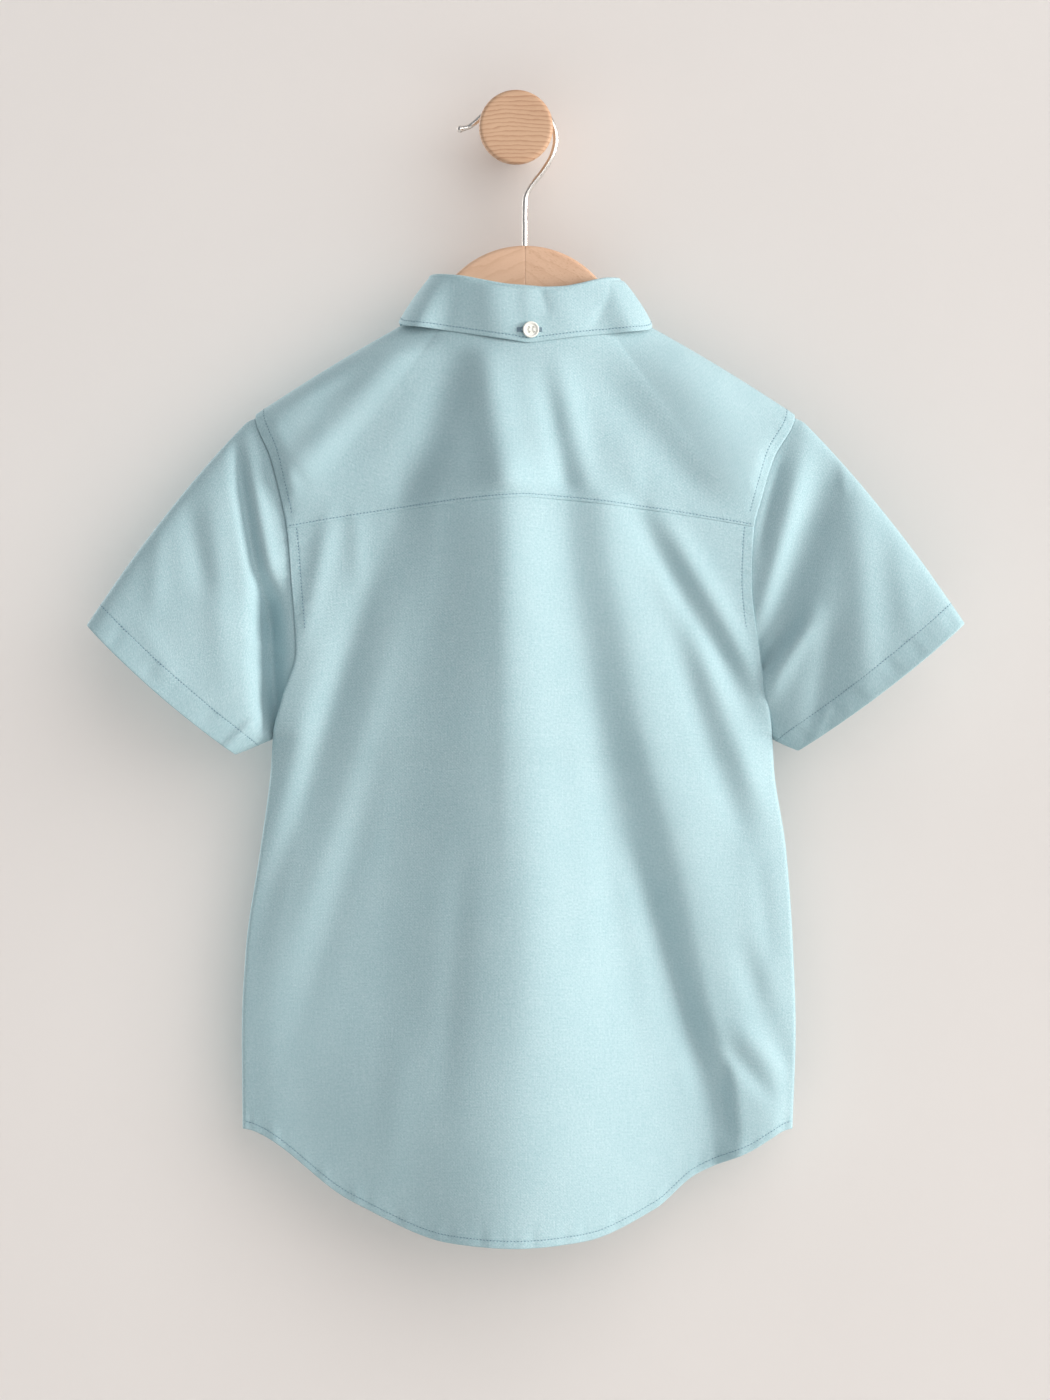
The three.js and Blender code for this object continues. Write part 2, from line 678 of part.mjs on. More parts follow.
function wallPeg() {
  const neckStart = -midPlane;
  const profile = [
    [0, -peg.length],
    [peg.headRadius - peg.edge, -peg.length],
    [peg.headRadius - peg.edge * 0.3, -peg.length + peg.edge * 0.3],
    [peg.headRadius, -peg.length + peg.edge],
    [peg.headRadius, -peg.length + 8],
    [peg.headRadius - 1, -peg.length + 10.5],
    [peg.headRadius - 3.8, -peg.length + 13],
    [peg.neckRadius + 0.4, -peg.neckEnd],
    [peg.neckRadius, -neckStart],
    [peg.neckRadius - 0.3, -neckStart + 5],
    [peg.backRadius, 0],
    [0, 0],
  ];
  return new THREE.LatheGeometry(profile.map(([r, y]) => new THREE.Vector2(r, y)), 40);
}

// ---------------------------------------------------------------- the part
const group = new THREE.Group();

function add(name, geometry, look) {
  const mesh = new THREE.Mesh(geometry, new THREE.MeshStandardMaterial(look));
  mesh.name = name;
  group.add(mesh);
  return mesh;
}

add('back_panel', backPanel(), looks.cloth);
add('back_yoke', backYoke(), looks.cloth);
add('left_front', frontPanel(side.left), looks.cloth);
add('right_front', frontPanel(side.right), looks.cloth);
add('placket', placketBand(), looks.cloth);
add('sleeve_left', sleeveTube(side.left), looks.cloth);
add('sleeve_right', sleeveTube(side.right), looks.cloth);
add('collar_stand', collarStand(), looks.cloth);
add('collar_leaf', collarLeaf(), looks.cloth);

const collarBack = add('collar_back_button', buttonGeometry(), looks.button);
seatButton(collarBack, (u, v) => leafPoint(u * 100, v), 0.031, 0.78, point(0, -1, 0));
const collarFront = add('collar_front_button', buttonGeometry(), looks.button);
const standFace = (u, v) => neckPoint(u * 100).lerp(neckPoint(u * 100, standTop), v);
seatButton(collarFront, standFace, -1.8, 0.5, point(0, 1, 0));
buttonRows.forEach((z, i) => {
  const mesh = add(`front_button_${i + 1}`, buttonGeometry(), looks.button);
  const topZ = placketPoint(0.5, 0).z;
  const down = (topZ - z) / (topZ - placketPoint(0.5, 1).z);
  seatButton(mesh, placketPoint, 0.5, down, point(0, 1, 0));
});

add('hanger_left', hangerHalf(side.left), looks.hanger);
add('hanger_right', hangerHalf(side.right), looks.hanger);
add('hanger_hook', hookWire(), looks.wire);
add('wall_peg', wallPeg(), looks.peg);

export default group;
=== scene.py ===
import math
import bpy
import numpy as np
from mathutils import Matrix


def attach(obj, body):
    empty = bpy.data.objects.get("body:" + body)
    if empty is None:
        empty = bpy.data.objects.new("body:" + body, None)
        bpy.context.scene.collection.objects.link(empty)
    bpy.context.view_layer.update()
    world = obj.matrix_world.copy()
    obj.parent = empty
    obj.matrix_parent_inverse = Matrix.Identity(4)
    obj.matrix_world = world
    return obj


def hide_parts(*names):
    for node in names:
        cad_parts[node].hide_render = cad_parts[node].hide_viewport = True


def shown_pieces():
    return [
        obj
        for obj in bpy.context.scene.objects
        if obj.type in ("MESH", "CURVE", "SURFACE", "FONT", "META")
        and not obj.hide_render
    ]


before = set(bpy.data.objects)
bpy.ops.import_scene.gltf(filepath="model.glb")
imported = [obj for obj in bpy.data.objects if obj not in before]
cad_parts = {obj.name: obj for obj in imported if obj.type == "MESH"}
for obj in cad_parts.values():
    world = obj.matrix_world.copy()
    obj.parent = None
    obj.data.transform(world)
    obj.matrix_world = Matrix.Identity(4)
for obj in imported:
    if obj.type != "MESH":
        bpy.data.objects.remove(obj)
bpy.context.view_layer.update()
print("frame loaded:", len(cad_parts), "nodes")

# A boy's short sleeve shirt on a wooden hanger, hooked over a round wall peg. The wall is on the
# +Y side, so the shirt's back faces -Y and its left side is on -X.
# Shapes are worked out in millimetres with the part's own measures; makeMesh turns them to metres.

midY = -47.0  # the hanger, the hook and the side seams
centreX = 5.5  # the hook's shank and the middle of the neck
back, front = -1, 1
left, right = -1, 1
farOff = 40.0  # a seam distance that is too far away to show
clothGap = 0.3  # half the space between two walls of cloth that touch


def mix(a, b, t):
    # a at t = 0 and b at t = 1
    return a + (b - a) * t


def smooth(t):
    # rises from 0 to 1 as 3 t^2 - 2 t^3
    t = np.clip(t, 0, 1)
    return t * t * (3 - 2 * t)


def bump(t):
    # 0 at both ends and 1 in the middle: sin(pi t)
    return np.sin(np.pi * np.clip(t, 0, 1))


def point(x, y, z):
    # x, y and z side by side as points
    return np.stack(np.broadcast_arrays(x, y, z), -1).astype(float)


def table(names, rows):
    # a dictionary of columns
    return dict(zip(names.split(), np.array(rows, float).T))


def nearest(values, wanted):
    # the place in the list of the value closest to the wanted one
    return int(np.argmin(abs(values - wanted)))


def unit(v):
    # each vector divided by its own length
    return v / np.maximum(np.linalg.norm(v, axis=-1, keepdims=True), 1e-9)


def runs(points, axis=0):
    # the length from the first point to each point along one way of a grid
    steps = np.linalg.norm(np.diff(points, axis=axis), axis=-1)
    return np.insert(np.cumsum(steps, axis), 0, 0, axis)


def nearLine(away, reach):
    # 1 on a line, fading on both sides as exp(-(away / reach)^2)
    return np.exp(-((away / reach) ** 2))


def quarterRound(away, radius, least):
    # sqrt(1 - (1 - away / radius)^2), never under sqrt(least)
    return np.sqrt(np.clip(1 - (1 - np.clip(away / radius, 0, 1)) ** 2, least, 1))


def softCurve(xs, ys, x):
    # cubic through the knots, flat at each high or low one; elsewhere its slope there is the
    # harmonic mean of the two rises, so it never overshoots
    x = np.asarray(x, float)
    xs = np.broadcast_to(xs, x.shape + (np.shape(xs)[-1],))
    ys = np.broadcast_to(ys, x.shape + (np.shape(ys)[-1],))
    rise = np.diff(ys) / np.diff(xs)
    same = rise[..., 1:] * rise[..., :-1]
    both = np.where(same > 0, rise[..., 1:] + rise[..., :-1], 1)
    slope = np.zeros(ys.shape)
    slope[..., 1:-1] = np.where(same > 0, 2 * same / both, 0)
    k = (x[..., None] > xs[..., 1:-1]).sum(-1)[..., None]
    x0, x1, y0, y1, s0, s1 = (
        np.take_along_axis(a, j, -1)[..., 0]
        for a, j in ((xs, k), (xs, k + 1), (ys, k), (ys, k + 1), (slope, k), (slope, k + 1))
    )
    wide = x1 - x0
    t = np.clip((x - x0) / wide, 0, 1)
    ends = mix(y0, y1, t * t * (3 - 2 * t))
    return ends + t * (1 - t) * wide * ((1 - t) * s0 - t * s1)


def column(rows, name, z):
    # one column of a table read at z, whose rows go downwards
    return softCurve(-rows["z"], rows[name], -np.asarray(z, float))


def ripple(run, pitch, seed):
    # uneven small waves along a seam: four sines whose pitches share no common length
    waves = [(1.0, 1.0), (0.61, 0.8), (1.73, 0.6), (0.37, 0.35)]
    turns = 2 * np.pi * run / pitch
    return sum(h * np.sin(turns / p + seed * (i + 1.7)) for i, (p, h) in enumerate(waves)) / 1.6


def creases(x, z, rows):
    # each row is a soft ridge, or a trough where its height is below 0, between two points:
    # height * exp(-(off / width)^2) * (a smooth fade over the first and last part of its run)
    total = np.zeros(np.shape(x))
    for x0, z0, x1, z1, bow, width, height in rows:
        run = math.hypot(x1 - x0, z1 - z0)
        alongX, alongZ = (x1 - x0) / run, (z1 - z0) / run
        t = ((x - x0) * alongX + (z - z0) * alongZ) / run
        off = (z - z0) * alongX - (x - x0) * alongZ - bow * 4 * t * (1 - t)
        fade = smooth(t / 0.35) * smooth((1 - t) / 0.35)
        total += height * np.exp(-((off / width) ** 2)) * fade
    return total


def gridNormals(grid, ring=False):
    # across x down, from the neighbours on both sides of each point
    if ring:
        around = np.concatenate([grid[:, -1:], grid, grid[:, :1]], 1)
        across = around[:, 2:] - around[:, :-2]
    else:
        across = np.gradient(grid, axis=1)
    return unit(np.cross(across, np.gradient(grid, axis=0)))


def gridFaces(rows, cols, ring=False):
    # the quads between neighbouring points, and each point's number
    number = np.arange(rows * cols).reshape(rows, cols)
    if ring:
        number = np.concatenate([number, number[:, :1]], 1)
    quads = np.stack([number[:-1, :-1], number[:-1, 1:], number[1:, 1:], number[1:, :-1]], -1)
    return quads.reshape(-1, 4), number


def makeMesh(name, points, faces, finish, node=None, uv=None, seam=None):
    # the seam marks are two distances to stitch lines, and 1 where the cloth is doubled; the cloth shader
    # paints shade along the stitch lines and over doubled cloth
    mesh = bpy.data.meshes.new(name)
    mesh.from_pydata((np.asarray(points) * 0.001).tolist(), [], [list(f) for f in faces])
    mesh.polygons.foreach_set("use_smooth", np.ones(len(mesh.polygons), bool))
    if uv is not None:
        corner = np.zeros(len(mesh.loops), np.int32)
        mesh.loops.foreach_get("vertex_index", corner)
        layer = mesh.uv_layers.new(name="weave")
        layer.data.foreach_set("uv", (uv[corner] * 0.001).astype(np.float32).ravel())
    if seam is not None:
        marks = mesh.attributes.new("seam", "FLOAT_VECTOR", "POINT")
        marks.data.foreach_set("vector", seam.astype(np.float32).ravel())
    mesh.materials.append(finish)
    mesh.update()
    piece = bpy.data.objects.new(name, mesh)
    bpy.context.scene.collection.objects.link(piece)
    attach(piece, "root")
    if node:
        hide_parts(node)
    return piece


def clothPiece(name, node, grid, outward, thickness=0.7, inside=0.0, ring=False, seam=None):
    # a closed wall: the grid moved out and in along its normals by half the thickness, with
    # `inside` more on the inner face where the cloth is doubled, and a rim round each edge
    rows, cols = grid.shape[:2]
    normal = gridNormals(grid, ring) * outward
    half = np.broadcast_to(thickness, (rows, cols))[..., None] / 2
    more = np.broadcast_to(inside, (rows, cols))[..., None]
    walls = [grid + normal * half, grid - normal * (half + more)]
    quads, number = gridFaces(rows, cols, ring)
    count = rows * cols
    edges = [(number[0, 1:], number[0, :-1]), (number[-1, :-1], number[-1, 1:])]
    if not ring:
        edges += [(number[:-1, 0], number[1:, 0]), (number[1:, -1], number[:-1, -1])]
    rims = [np.stack([p, q, q + count, p + count], -1) for p, q in edges]
    faces = np.concatenate([quads, quads[:, ::-1] + count, *rims])[:, ::outward]
    down, across = runs(grid), runs(grid, 1)
    across -= across[:, [cols // 2]]
    uv = np.stack([across, -down], -1).reshape(-1, 2)
    marks = np.broadcast_to(point(*seam), grid.shape).reshape(-1, 3)
    points = np.concatenate([wall.reshape(-1, 3) for wall in walls])
    uv, marks = np.tile(uv, (2, 1)), np.tile(marks, (2, 1))
    makeMesh(name, points, faces, cloth, node, uv, marks)
    whole = np.concatenate([grid, grid[:, :1]], 1) if ring else grid
    corners = np.cross(whole[1:, 1:] - whole[:-1, :-1], whole[1:, :-1] - whole[:-1, 1:])
    area = np.linalg.norm(corners, axis=-1).sum() / 2
    size = f"{across.max() - across.min():.0f} x {down.max():.0f} mm"
    print(f"{name}: {len(faces) * 2} triangles, cloth {area / 1e6:.4f} m2, {size}")
    return normal


def skinned(name, rings, finish, node):
    # rings of points along a solid, closed by a fan at each end: rings[station, side]
    stations, sides = rings.shape[:2]
    quads, number = gridFaces(stations, sides, ring=True)
    count = stations * sides
    first = np.stack([number[0, 1:], number[0, :-1], np.full(sides, count)], -1)
    last = np.stack([number[-1, :-1], number[-1, 1:], np.full(sides, count + 1)], -1)
    points = np.concatenate([rings.reshape(-1, 3), [rings[0].mean(0), rings[-1].mean(0)]])
    faces = [*quads.tolist(), *first.tolist(), *last.tolist()]
    a, b, d = (points[quads[:, k]] for k in (0, 1, 3))
    if ((a - points.mean(0)) * np.cross(b - a, d - a)).sum() < 0:
        faces = [f[::-1] for f in faces]
    makeMesh(name, points, faces, finish, node)


def addNode(tree, kind, inputs=None, **settings):
    # each input is either linked or given its plain value
    made = tree.nodes.new(kind)
    for key, value in settings.items():
        setattr(made, key, value)
    for key, value in (inputs or {}).items():
        if isinstance(value, bpy.types.NodeSocket):
            tree.links.new(value, made.inputs[key])
        else:
            made.inputs[key].default_value = value
    return made


def sums(operation, first, *others):
    # one Math node, or one for each further value
    tree = next(v.id_data for v in (first, *others) if isinstance(v, bpy.types.NodeSocket))
    if not others:
        return addNode(tree, "ShaderNodeMath", {0: first}, operation=operation).outputs[0]
    for other in others:
        first = addNode(tree, "ShaderNodeMath", {0: first, 1: other}, operation=operation).outputs[0]
    return first


def added(*values):
    return sums("ADD", *values)


def minus(*values):
    return sums("SUBTRACT", *values)


def times(*values):
    return sums("MULTIPLY", *values)


def vectorSums(operation, where, other):
    # one Vector Math node
    inputs = {0: where, 1: other}
    return addNode(where.id_data, "ShaderNodeVectorMath", inputs, operation=operation).outputs[0]


def mixColour(share, a, b):
    # colour a at a share of 0 and colour b at 1
    inputs = {0: share, 6: a, 7: b}
    return addNode(share.id_data, "ShaderNodeMix", inputs, data_type="RGBA").outputs[2]


def spread(value, low, high, toLow=0.0, toHigh=1.0):
    # low to high stretched to toLow to toHigh, and held at both ends
    inputs = {0: value, 1: low, 2: high, 3: toLow, 4: toHigh}
    return addNode(value.id_data, "ShaderNodeMapRange", inputs).outputs[0]


def noise(where, scale, detail=2.0, rough=0.5):
    # where is stretched by scale first, so a small number along an axis makes long streaks
    vector = vectorSums("MULTIPLY", where, scale)
    inputs = {"Vector": vector, "Scale": 1.0, "Detail": detail, "Roughness": rough}
    return addNode(where.id_data, "ShaderNodeTexNoise", inputs).outputs[0]


def split(where):
    return addNode(where.id_data, "ShaderNodeSeparateXYZ", {0: where}).outputs


def newGroup(name, inputs):
    # each input's kind follows its value: 1, 3 or 4 numbers
    tree = bpy.data.node_groups.new(name, "ShaderNodeTree")
    kinds = {1: "NodeSocketFloat", 3: "NodeSocketVector", 4: "NodeSocketColor"}
    for label, value in inputs.items():
        socket = tree.interface.new_socket(label, in_out="INPUT", socket_type=kinds[np.size(value)])
        socket.default_value = value
    for label, size in (("Colour", 4), ("Roughness", 1), ("Height", 1)):
        tree.interface.new_socket(label, in_out="OUTPUT", socket_type=kinds[size])
    return tree, tree.nodes.new("NodeGroupInput").outputs, tree.nodes.new("NodeGroupOutput").inputs


def wovenGroup():
    # fine Oxford weave, faint heathered streaks both ways, a needle groove along each stitch line, with
    # painted shade in each groove and a little painted shade where the cloth is doubled
    pitch = {"weft": 0.64, "warp": 0.7, "hatch": 1.75, "grooveAndShade": 0.45}
    defaults = {"Thread": (0.4, 0.6, 0.64, 1), "Pale": (0.6, 0.8, 0.84, 1), "Streaks": 0.5, "Weave": 0.5}
    tree, given, out = newGroup("wovenCloth", defaults)
    uv = addNode(tree, "ShaderNodeUVMap", uv_map="weave").outputs[0]
    place = vectorSums("MULTIPLY", uv, (1000, 1000, 1000))
    x, y, _ = split(place)
    slub = added(
        minus(noise(place, (0.05, 1.5, 1), 2.5, 0.6), 0.5),
        minus(noise(place, (1.5, 0.05, 1), 2.5, 0.6), 0.5),
    )
    basket = times(
        sums("SINE", times(x, 2 * math.pi / pitch["weft"])),
        sums("SINE", times(y, 2 * math.pi / pitch["warp"])),
    )
    seam = split(addNode(tree, "ShaderNodeAttribute", attribute_name="seam").outputs["Vector"])
    grooves = []
    for side in (0, 1):
        near = sums("DIVIDE", seam[side], pitch["grooveAndShade"])
        grooves.append(sums("EXPONENT", times(near, near, -1.0)))  # exp(-(distance / groove)^2)
    grooveAndShade = sums("MAXIMUM", *grooves)
    fleck = minus(noise(place, (0.85, 0.85, 1), 2.0, 0.7), 0.5)
    hatch = times(sums("SINE", times(added(x, y), 2 * math.pi / pitch["hatch"])), given["Weave"], 0.14)
    cloud = spread(noise(place, (0.03, 0.03, 1), 3), 0.3, 0.7, 0.32, 0.46)
    overs = times(basket, given["Weave"], 0.12)
    share = added(times(slub, given["Streaks"]), hatch, times(fleck, 2.4), overs, cloud)
    # painted shade: darker along each needle groove and a little darker where the cloth is doubled
    share = minus(share, times(grooveAndShade, 0.12), times(seam[2], 0.06))
    greyer = spread(noise(place, (1.1, 0.7, 1), 2.0, 0.7), 0.5, 0.75, 0.0, 0.45)
    colour = mixColour(greyer, mixColour(share, given["Thread"], given["Pale"]), (0.50, 0.60, 0.68, 1))
    relief = added(times(slub, 0.55), times(basket, given["Weave"], 0.22), times(fleck, 0.5))
    tree.links.new(colour, out["Colour"])
    tree.links.new(spread(slub, -0.3, 0.3, 0.74, 0.86), out["Roughness"])
    tree.links.new(minus(relief, times(grooveAndShade, 1.1)), out["Height"])
    return tree


def grainGroup():
    # growth lines across z, wandering with a slow noise, and short dark pores along them
    # Place is in millimetres: x along the grain, y through the wood, z across the lines
    defaults = {
        "Light": (0.6, 0.4, 0.25, 1), "Dark": (0.4, 0.2, 0.1, 1), "Line Step": 3.0, "Wander": 1.0,
        "Arch": 0.0, "Lines": 0.6, "Pores": 0.3, "Place": (0, 0, 0),
    }
    tree, given, out = newGroup("woodGrain", defaults)
    where = given["Place"]
    x, _, z = split(where)
    slow = minus(noise(where, (0.04, 0.02, 0.12), 3, 0.55), 0.5)
    wave = minus(noise(where, (0.35, 0.05, 0.35), 2, 0.6), 0.5)
    wander = added(times(slow, given["Wander"], 9.0), times(wave, given["Wander"]))
    across = added(z, times(x, x, given["Arch"]), wander)
    ring = sums("FRACT", sums("DIVIDE", across, given["Line Step"]))
    # each ring darkens slowly, then stops sharply
    late = times(sums("POWER", ring, 3.2), spread(ring, 0.93, 1.0, 1.0, 0.0))
    fibre = noise(where, (0.25, 3.0, 5.0), 2, 0.6)
    pores = spread(noise(where, (0.45, 2.0, 3.2), 1, 0.5), 0.6, 0.72)
    broad = times(minus(noise(where, (0.02, 0.02, 0.06), 2), 0.45), 0.5)
    fine = times(minus(fibre, 0.5), 0.35)
    dark = added(times(late, given["Lines"]), times(pores, given["Pores"]), fine, broad)
    tree.links.new(mixColour(sums("MAXIMUM", dark, 0.0), given["Light"], given["Dark"]), out["Colour"])
    tree.links.new(spread(dark, 0.0, 1.0, 0.5, 0.66), out["Roughness"])
    tree.links.new(minus(times(fibre, 0.4), times(late, 0.3), times(pores, 0.6)), out["Height"])
    return tree


def newFinish(name, plain):
    # a material whose shader has the plain values
    finish = bpy.data.materials.new(name)
    finish.use_nodes = True
    tree = finish.node_tree
    tree.nodes.clear()
    shader = addNode(tree, "ShaderNodeBsdfPrincipled", plain)
    tree.links.new(shader.outputs[0], tree.nodes.new("ShaderNodeOutputMaterial").inputs[0])
    return finish, shader, tree


def dress(shader, colour, roughness, height, relief, strength=1.0):
    # joins colour, roughness and a bump to the shader; relief is in millimetres
    tree = shader.id_data
    inputs = {"Strength": strength, "Distance": relief * 0.001, "Height": height}
    bumped = addNode(tree, "ShaderNodeBump", inputs).outputs[0]
    for key, value in (("Base Color", colour), ("Roughness", roughness), ("Normal", bumped)):
        tree.links.new(value, shader.inputs[key])


def groupFinish(name, group, plain, values, relief, place=None):
    # its colour, roughness and height come from a node group with the given values
    finish, shader, tree = newFinish(name, plain)
    if place:
        values = {**values, "Place": objectPlace(tree, *place)}
    made = addNode(tree, "ShaderNodeGroup", values, node_tree=group)
    dress(shader, made.outputs["Colour"], made.outputs["Roughness"], made.outputs["Height"], relief)
    return finish


def objectPlace(tree, turn=0.0, origin=(0, 0, 0)):
    # object coordinates in millimetres about an origin, turned in the wall's plane
    where = addNode(tree, "ShaderNodeTexCoord").outputs["Object"]
    where = vectorSums("SUBTRACT", vectorSums("MULTIPLY", where, (1000, 1000, 1000)), origin)
    inputs = {"Vector": where, "Rotation": (0, math.radians(turn), 0)}
    return addNode(tree, "ShaderNodeMapping", inputs, vector_type="TEXTURE").outputs[0]


def noisyFinish(name, plain, look):
    # one noise gives the tone, the gloss and a slight relief
    finish, shader, tree = newFinish(name, plain)
    where = objectPlace(tree, look.get("turn", 0))
    pattern = noise(where, look["scale"], look["detail"], look.get("rough", 0.5))
    colour = mixColour(spread(pattern, *look["toneRange"]), *look["tones"])
    dress(shader, colour, spread(pattern, *look["gloss"]), pattern, look["relief"])
    return finish


woven, grain = wovenGroup(), grainGroup()
shirtCloth = {
    "Thread": (0.335, 0.522, 0.564, 1), "Pale": (0.53, 0.685, 0.72, 1), "Streaks": 0.55, "Weave": 0.8,
}
clothSheen = {"Sheen Weight": 0.18, "Sheen Roughness": 0.45, "Specular IOR Level": 0.25}
cloth = groupFinish("oxfordCloth", woven, clothSheen, shirtCloth, 0.12)

woodLooks = {  # turn and origin of the grain, then its look
    "pegWood": [(0, (0, 0, 0)), {
        "Light": (0.63, 0.405, 0.26, 1), "Dark": (0.37, 0.17, 0.09, 1), "Line Step": 2.75, "Wander": 0.55,
        "Arch": 0.0035, "Lines": 0.8, "Pores": 0.1,
    }],
    "hangerWoodLeft": [(-22, (5.5, -47, -90)), {
        "Light": (0.72, 0.472, 0.322, 1), "Dark": (0.47, 0.245, 0.135, 1), "Line Step": 8, "Wander": 1.2,
        "Arch": 0.0, "Lines": 0.28, "Pores": 0.15,
    }],
    "hangerWoodRight": [(30, (5.5, -47, -80)), {
        "Light": (0.72, 0.472, 0.322, 1), "Dark": (0.47, 0.245, 0.135, 1), "Line Step": 6.5, "Wander": 1.6,
        "Arch": 0.0, "Lines": 0.3, "Pores": 0.55,
    }],
}
woods = {
    name: groupFinish(name, grain, {"Specular IOR Level": 0.35}, look, 0.08, place)
    for name, (place, look) in woodLooks.items()
}

hookWire = noisyFinish("satinNickel", {"Metallic": 1.0}, {
    "scale": (2.5, 2.5, 0.3), "detail": 3, "toneRange": (0, 1), "gloss": (0.2, 0.8, 0.2, 0.34),
    "relief": 0.02, "tones": ((0.72, 0.67, 0.62, 1), (0.86, 0.83, 0.79, 1)),
})
buttonFinish = noisyFinish("ivoryButton", {"Specular IOR Level": 0.6}, {
    "scale": (0.25, 0.25, 0.6), "detail": 4, "rough": 0.6, "toneRange": (0.35, 0.65),
    "gloss": (0.3, 0.7, 0.22, 0.36), "relief": 0.03,
    "tones": ((0.83, 0.82, 0.74, 1), (0.90, 0.90, 0.85, 1)),
})
threadTones = {
    "seamThread": ((0.10, 0.19, 0.27, 1), (0.20, 0.31, 0.40, 1)),
    "holeThread": ((0.14, 0.22, 0.28, 1), (0.26, 0.36, 0.43, 1)),
    "buttonThread": ((0.62, 0.62, 0.58, 1), (0.80, 0.80, 0.77, 1)),
}
seamThread, holeThread, buttonThread = (
    noisyFinish(name, {"Sheen Weight": 0.15, "Specular IOR Level": 0.35}, {  # twisted: narrow slanted bands
        "turn": 35, "scale": (1.2, 4.0, 7.0), "detail": 2, "toneRange": (0.3, 0.7),
        "gloss": (0.2, 0.8, 0.55, 0.75), "relief": 0.06, "tones": tones,
    })
    for name, tones in threadTones.items()
)
print("finishes made")

# seam lines and faces of the body, with the part's own measures
neck = {"halfWidth": 61, "backDepth": 23, "frontDepth": 32, "sideZ": -113.5, "backZ": -127, "frontZ": -158}
shoulder = {"rightX": 173.5, "z": -177.5, "rise": 2}
armhole = {"bottomZ": -377, "halfDepth": 20, "roundness": 0.42, "frontInset": 4}
yoke = {
    "centreZ": -230, "drop": 17.5, "dropHalfWidth": 141, "curve": 1.4, "cornerZ": -247, "frontDrop": 30,
    "overHanger": 2.6, "under": 0.35, "backCosine": 0.62, "frontCosine": -0.42,
}
seams = {  # distances from an edge
    "hemStitch": 4.7, "hemEdge": 6.4, "hemFold": 7.2, "bandStitch": 6.0, "bandEdge": 6.6,
    "yokeStitch": 2.2, "yokeEdge": 3.2, "backBandEndZ": -314, "frontBandEndZ": -372,
}
bodySide = {"sharpReach": 2.4, "softReach": 22, "sharpShare": 0.45}
bodyRows = table("z left right depth", [
    [-178, -162, 173.5, 20], [-205, -152, 160, 20], [-232, -145, 151.5, 20], [-250, -141.5, 147, 20],
    [-280, -139, 145.7, 19.5], [-324, -136, 150.5, 18], [-354, -145, 156, 16], [-377, -151, 159.3, 14.5],
    [-399, -152.5, 160.6, 10.5], [-448, -159, 168, 7.5], [-510, -168, 172.4, 6], [-560, -170.5, 174, 5.5],
    [-622, -170, 172, 5], [-700, -168, 170, 5],
])
foldNames = "z hollowX hollow kneeX knee crestX crest dipX dip rollX roll farX far"
backFolds = table(foldNames, [
    [-225, -74, 0, -46, 10.5, -5, 22, 33, 10, 52, 12, 82, 4],
    [-265, -84, 0.5, -48, 11, -4, 25, 35, 10, 56, 12.5, 84, 5],
    [-318, -107, -1.5, -58, 7.5, -3, 24, 43, 7.5, 68, 11.5, 98, 4],
    [-355, -117, -1.5, -66, 7, -2, 24, 49, 6, 75, 11.5, 106, 4.5],
    [-392, -127, -0.5, -74, 7.5, 0, 26, 58, 4.5, 84, 12, 118, 4],
    [-430, -134, 0, -80, 7.5, 1, 28, 66, 3, 96, 11.5, 136, 2.5],
    [-467, -136, 1.5, -84, 9, 2, 30, 77, 0.5, 106, 9, 142, 2],
    [-541, -138, 3, -87, 11.5, 1, 34, 99, -3.5, 122, 4, 152, 2.5],
    [-609, -140, 4, -87, 17, -5, 36, 122, -4, 139, 3.5, 160, 3],
    [-695, -130, 1, -80, 10, -5, 31, 122, -3, 139, 2, 160, 2],
])
frontFolds = table(foldNames, [
    [-200, -84, 6, -20, 12, 5, 13, 30, 12, 94, 6, 112, 4],
    [-318, -88, 8, -20, 11, 5, 12, 30, 11, 98, 8, 116, 4],
    [-467, -96, 10, -20, 8, 5, 9, 30, 8, 112, 8, 136, 4],
    [-609, -106, 12, -20, 9, 5, 10, 30, 9, 118, 11, 144, 5],
    [-695, -106, 12, -20, 9, 5, 10, 30, 9, 118, 11, 144, 5],
])
hemRows = table("across z", [
    [-1, -622], [-0.6, -666], [-0.24, -690], [0, -692.5], [0.235, -689.5], [0.5, -671], [0.64, -651],
    [0.83, -636.5], [1, -622],
])
frontHemRise = 14

# creases: x and z of both ends, sideways bow, width, height
backCreases = [
    [-62, -252, -160, -560, 6, 11, 2.0], [-74, -226, -176, -540, 2, 9, -2.8],
    [-112, -224, -140, -340, 2, 7, 2.4], [-110, -226, -162, -520, 4, 12, 1.6],
    [-99, -226, -98, -292, 0, 6, 1.1],
    [64, -222, 160, -384, 0, 8, -3.8], [75, -216, 169, -373, 0, 8, 3.2], [92, -284, 156, -466, -7, 8, -2.2],
    [105, -282, 172, -452, -7, 8, 2.4], [62, -420, 132, -650, 3, 7, -2.2],
    [128, -572, 138, -640, -3, 5, -2.8],
    [122, -560, 168, -612, 0, 6, -2.2], [130, -548, 176, -600, 0, 6, 1.6],
    [132, -488, 180, -620, 0, 9, -2.8],
    [148, -440, 160, -530, 0, 7, -1.3], [-78, -362, -152, -600, 4, 9, -0.7],
    [-9, -150, -5, -520, 0, 7, 0.6],
    [-66, -540, -84, -690, 0, 12, 1.0],
    [24, -300, 48, -560, 6, 10, 1.0], [-30, -420, -48, -640, 0, 9, -1.0], [60, -430, 92, -600, 0, 8, 0.8],
]
frontCreases = [
    [-58, -215, -124, -540, -6, 13, 4.2], [56, -226, 130, -520, 6, 13, 3.8],
    [-95, -320, -150, -610, 3, 10, -3.0],
    [98, -330, 152, -600, -3, 10, -3.2], [-38, -420, -54, -640, 0, 9, 2.2], [44, -370, 72, -620, 2, 9, 2.2],
    [-104, -232, -152, -392, 2, 7, -2.4], [108, -236, 154, -380, -2, 7, -2.2],
    [-30, -190, -64, -330, 0, 9, -1.8],
    [34, -196, 60, -300, 0, 8, -1.6],
]


